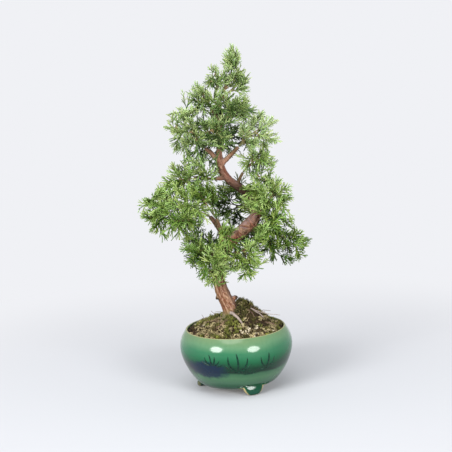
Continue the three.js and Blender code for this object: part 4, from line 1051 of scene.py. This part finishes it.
# The crown is airier than the lower pads. Each pad is given by how full it is, and how light: a
# painted light or shade over the whole pad, darker at the back and inside.
FULLNESS = {
    "apex": (0.0, 0.2), "apex_left": (0.15, 0.16), "apex_right": (0.1, 0.16), "crown_left": (0.5, 0.14),
    "crown_right": (0.1, 0.32), "upper_right": (0.05, 0.4), "upper_left": (0.5, 0.2),
    "right_wisps": (0.4, 0.24), "mid_left_low": (0.8, 0.16), "mid_left_top": (0.75, 0.1),
    "mid_right": (0.6, 0.28),
    "low_right": (0.0, -0.03), "low_front_right": (0.25, 0.28), "low_front": (0.25, 0.36),
    "inner_left": (0.2, -0.06), "inner_right": (0.2, 0.0), "inner_top": (0.4, 0.08),
    "back_mid": (0.2, -0.14), "back_right": (0.5, -0.1), "back_left": (0.5, -0.08),
    "crown_back": (0.8, -0.2),
}

# Every spike of a CAD spray becomes one forked cord, from the same root to the same tip. The sprays
# stay within the depth of the pot, which reaches 52.5 mm to the front and the back.
SPIKE_LEAST = 1.8 * MM
SPRAY_LIMIT = 51 * MM
SHOOT_LIMIT = 50 * MM
twigs = bmesh.new()
grow_draw = random.Random(7)
pads = {}
for name in sorted(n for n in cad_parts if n.startswith("foliage_")):
    spray = cad_form(name)
    spikes = []
    for vert in spray.verts:
        if len(vert.link_edges) == 3:
            root = sum((e.other_vert(vert).co for e in vert.link_edges), Vector()) / 3
            if (vert.co - root).length > SPIKE_LEAST:
                spikes.append((vert, root, vert.co.copy()))
    tips = np.array([tip for _, _, tip in spikes])
    full, mood = FULLNESS.get(name.removeprefix("foliage_"), (1, 0))
    pad = {
        "planted": [[] for _ in sprigs], "buds": [], "middle": Vector(tips.mean(0)),
        "full": full, "mood": mood, "front": max(-SPRAY_LIMIT, tips[:, 1].min() - 9 * MM),
        "back": min(SPRAY_LIMIT, tips[:, 1].max() + 5 * MM),
    }
    for _, root, tip in spikes:
        heading = tip - root
        size = heading.length * grow_draw.uniform(1.02, 1.2)
        turn = grow_draw.uniform(0, math.tau)
        which = grow_draw.randrange(STALK)
        lean = heading.normalized()
        place = stand_cord(root - lean * 0.3 * MM, lean, size, turn)
        pad["planted"][which].append((place, root + lean * size))
        pad["buds"].append((root, lean, 0))
        take_room(root + heading * 0.5)
        take_room(tip)
    pads[name] = pad
    bmesh.ops.dissolve_verts(spray, verts=[vert for vert, _, _ in spikes])
    wood = bpy.data.meshes.new("young wood")
    spray.to_mesh(wood)
    spray.free()
    twigs.from_mesh(wood)
    bpy.data.meshes.remove(wood)

# More shoots grow from the same wood, where the crown still has room, as the real tree fills out.
# Forked cords, the sprigs, stand along each shoot. Where MM isn't named, lengths are in millimetres.
SHOOT_ROOM = 3.9 * MM
SHOOTS_MOST = 325
SHOOT_TRIES = 90000
COVER_TRIES = 9000
BUDS_OF_FULL_PAD = 150
SPRIG_STEP = 3.3
SPRIG_LONG = (8.5, 14.0)
SHOOT_LONG = (9, 17)
COVER_LONG = (9, 24)
GOLDEN_TURN = 2.4
FEATHER_CHANCE = 0.6
pad_names = sorted(pads)
grown_shoots = 0


def grow_shoot(pad, root, heading, length, age, room, slack=0.0):
    """Grows one forked shoot from root, if it stays in the crown and has room."""
    front, back = max(pad["front"] - slack, -SHOOT_LIMIT), min(pad["back"] + slack, SHOOT_LIMIT)
    bend = Vector((0, 0, grow_draw.uniform(-0.5, 1.6) * MM))
    path = [root + heading * length * t + bend * t * t for t in (0, 0.34, 0.67, 1.0)]
    if not all(in_crown(p) and front + 4 * MM < p.y < back - 4 * MM for p in path[2:]):
        return False
    if not all(is_free(p, room) for p in path[1:]):
        return False
    for here, there in zip(path, path[1:]):
        step = there - here
        pad["planted"][STALK].append((stand_cord(here, step.normalized(), step.length, 0), None))
    around = grow_draw.uniform(0, math.tau)
    count = max(3, round(length / (SPRIG_STEP * MM)))
    for k in range(count + 1):
        t = 0.22 + 0.78 * k / count
        on_path = root + heading * length * t + bend * t * t
        around += GOLDEN_TURN
        across = heading.orthogonal().normalized()
        across.rotate(Matrix.Rotation(around, 3, heading))
        spread = 0.8 - 0.4 * t if k < count else 0.05
        lean_out = (heading + across * spread).normalized()
        size = grow_draw.uniform(*SPRIG_LONG) * (1.08 - 0.25 * t) * MM
        end = on_path + lean_out * size
        feather = k == count and grow_draw.random() < FEATHER_CHANCE
        feather = feather and in_box(end) and in_crown(on_path.lerp(end, 0.5))
        if not feather and not (in_crown(end) and front < end.y < back):
            size *= 0.6
            end = on_path + lean_out * size
            if not (in_crown(end) and front < end.y < back):
                continue
        which = grow_draw.randrange(STALK)
        place = stand_cord(on_path, lean_out, size, grow_draw.uniform(0, math.tau))
        pad["planted"][which].append((place, end))
        take_room(on_path.lerp(end, 0.6))
        if age < 2 and k % 3 == 1:
            pad["buds"].append((on_path, lean_out, age + 1))
    for p in path[1:]:
        take_room(p)
    return True


# Leaves hide the wood at these places of the photograph, so shoots are grown before it first. A
# place is an oval in its pixels, the side of the crown, front or back, and how many shoots.
COVERS = [
    (259, 199, 8, 14, -1, 13), (269, 229, 10, 8, -1, 16), (221, 262, 8, 14, -1, 9), (213, 256, 8, 8, -1, 4),
    (206, 146, 6, 5, -1, 3), (220, 144, 7, 7, -1, 5), (237, 165, 7, 9, 1, 8), (219, 205, 9, 16, 1, 2),
    (170, 195, 14, 10, -1, 6), (256, 160, 8, 8, 1, 4),
]
for cover_x, cover_y, cover_wide, cover_high, way, wanted in COVERS:
    done = 0
    for _ in range(COVER_TRIES):
        if done >= wanted:
            break
        pad = pads[grow_draw.choice(pad_names)]
        root, lean, age = grow_draw.choice(pad["buds"])
        if root.y * way < -4 * MM:
            continue
        stray = Vector([grow_draw.gauss(0, 0.9) for _ in range(3)])
        heading = (lean + stray + Vector((0, 0.5 * way, 0))).normalized()
        length = grow_draw.uniform(*COVER_LONG) * MM
        middle_x, middle_y = pixel_of(root + heading * length * 0.8)
        aside = ((middle_x - cover_x) / cover_wide) ** 2 + ((middle_y - cover_y) / cover_high) ** 2
        if aside > 1 or (root + heading * length).y * way < 0:
            continue
        if grow_shoot(pad, root, heading, length, 1, 1.7 * MM, 8 * MM):
            done += 1
    grown_shoots += done
for _ in range(SHOOT_TRIES):
    if grown_shoots >= SHOOTS_MOST:
        break
    pad = pads[grow_draw.choice(pad_names)]
    if grow_draw.random() > len(pad["buds"]) / BUDS_OF_FULL_PAD * pad["full"]:
        continue
    root, lean, age = grow_draw.choice(pad["buds"])
    stray = Vector([grow_draw.gauss(0, 1) for _ in range(3)]).normalized()
    outward = (root - pad["middle"]).normalized()
    heading = (lean * 0.5 + outward * 0.5 + stray * 1.0 + Vector((0, 0, 0.25))).normalized()
    if grow_shoot(pad, root, heading, grow_draw.uniform(*SHOOT_LONG) * MM, age, SHOOT_ROOM):
        grown_shoots += 1

# The light in a cord's colour is how far out and up it stands in its pad: the tips are fresh and
# the inside older, but most of it is painted light on the top and outside of the pad and painted
# shade inside and under it. Its bloom begins at a height above the table, and is full further up.
BASE_LIGHT = 0.39
LIGHT_OUT = 0.13
LIGHT_UP = 0.16
LIGHT_DRAWN = 0.3
STALK_SHADE = 0.15
BLOOM_FROM = 185
BLOOM_RUN = 45
for name, pad in pads.items():
    ends = np.array([end for entries in pad["planted"] for _, end in entries if end is not None])
    middle = ends.mean(0)
    spread = np.percentile(np.abs(ends - middle), 92, axis=0) + 1e-6
    leafy = bmesh.new()
    leafy.verts.layers.float.new("along")
    drawn = []
    for seedling, entries in zip(sprigs, pad["planted"]):
        sow(leafy, seedling, [place for place, _ in entries])
        for place, end in entries:
            offset = (np.array(place.translation if end is None else end) - middle) / spread
            far = min(float(np.linalg.norm(offset)), 1.3)
            light = BASE_LIGHT + LIGHT_OUT * far + LIGHT_UP * float(offset[2])
            stray = grow_draw.uniform(-LIGHT_DRAWN, LIGHT_DRAWN)
            light += stray - (STALK_SHADE if end is None else 0) + pad["mood"]
            kin = grow_draw.random()
            bloom = (place.translation.z / MM - BLOOM_FROM) / BLOOM_RUN
            shade = (min(1.0, max(0.0, light)), kin, min(1.0, max(0.0, bloom)), 1.0)
            drawn.append(np.repeat([shade], len(seedling.vertices), 0))
    piece = set_piece(name.replace("foliage_", "sprays_"), leafy, cord_green, [name])
    write_values(piece.data, "drawn", np.concatenate(drawn))

# The young wood inside the sprays is thin, green at the tips and orange brown further in.
young_wood = new_finish("young juniper wood")
young_place = add_node(young_wood, "TexCoord", {}).outputs["Object"]
young_noise = add_node(young_wood, "TexNoise", {"Vector": young_place, "Scale": 90.0, "Detail": 2.0})
young_colour = add_node(young_wood, "ValToRGB", [young_noise])
fill_ramp(young_colour, [(0.42, "#4d5f2e"), (0.62, "#75603c")])
set_finish(young_wood, {"Roughness": 0.65, "Base Color": young_colour})
bmesh.ops.recalc_face_normals(twigs, faces=twigs.faces)
twig_piece = set_piece("young_twigs", twigs, young_wood)
rounding = twig_piece.modifiers.new("round", "SUBSURF")
rounding.levels = 1
rounding.render_levels = 1


# The floor and the light. A plain pale table runs out to a sky of the same colour, so that no
# horizon shows. Two soft boxes stand in front, left and right, and a wide one hangs above.
PALE_GREY = tone("#f0f1f5")
backdrop = new_finish("pale matt card")
backdrop_place = add_node(backdrop, "TexCoord", {}).outputs["Object"]
backdrop_far = add_node(backdrop, "VectorMath", [backdrop_place], operation="LENGTH")
backdrop_part = add_node(
    backdrop, "MapRange", [backdrop_far, 0.05, 0.5, 0.1, 1.0],
    interpolation_type="SMOOTHSTEP",
)
backdrop_glow = add_node(backdrop, "Emission", [PALE_GREY, 1.0])
set_finish(backdrop, {"Base Color": tone("#b4b6ba"), "Roughness": 0.95, "Specular IOR Level": 0.0})
card_shader = backdrop.node_tree.nodes["Principled BSDF"]
backdrop_mix = add_node(backdrop, "MixShader", [backdrop_part, card_shader, backdrop_glow])
plug(backdrop, backdrop.node_tree.nodes["Material Output"], [backdrop_mix])
sheet = bmesh.new()
bmesh.ops.create_circle(sheet, cap_ends=True, segments=96, radius=20)
floor_mesh = bpy.data.meshes.new("floor")
sheet.to_mesh(floor_mesh)
sheet.free()
floor_mesh.materials.append(backdrop)
floor = bpy.data.objects.new("floor", floor_mesh)
bpy.context.scene.collection.objects.link(floor)

world = bpy.data.worlds.new("soft studio")
bpy.context.scene.world = world
world.use_nodes = True
sky_place = add_node(world, "TexCoord", {}).outputs["Generated"]
sky_depth = add_node(world, "SeparateXYZ", [sky_place]).outputs[1]
sky_bright = add_node(
    world, "MapRange", [sky_depth, -0.75, 0.25, 0.28, 0.82], interpolation_type="SMOOTHSTEP"
)
sky = world.node_tree.nodes["Background"]
plug(world, sky, [PALE_GREY, sky_bright])
sky_seen = add_node(world, "Background", [PALE_GREY, 1.0])
camera_ray = add_node(world, "LightPath", {}).outputs["Is Camera Ray"]
sky_shown = add_node(world, "MixShader", [camera_ray, sky, sky_seen])
plug(world, world.node_tree.nodes["World Output"], [sky_shown])

# Each lamp is given by its turn from the camera and its height in degrees, its distance and its
# two sides in metres, and its power.
for name, turn, height, distance, wide, tall, power in (
    ("left_soft_box", -43, 20, 1.7, 0.76, 0.62, 29),
    ("right_soft_box", 35, 17, 1.7, 0.74, 0.66, 27),
    ("top_soft_box", -18, 64, 1.6, 1.5, 1.2, 21),
):
    lamp = bpy.data.objects.new(name, bpy.data.lights.new(name, "AREA"))
    lamp.data.shape = "ELLIPSE"
    lamp.data.size = wide
    lamp.data.size_y = tall
    lamp.data.energy = power
    a, e = math.radians(turn), math.radians(height)
    place = Vector((math.sin(a) * math.cos(e), -math.cos(a) * math.cos(e), math.sin(e))) * distance
    aim = place.to_track_quat("Z", "Y").to_matrix().to_4x4()
    lamp.matrix_world = Matrix.Translation(spot(0, 0, 110) + place) @ aim
    bpy.context.scene.collection.objects.link(lamp)
bpy.context.scene.view_settings.view_transform = "Standard"
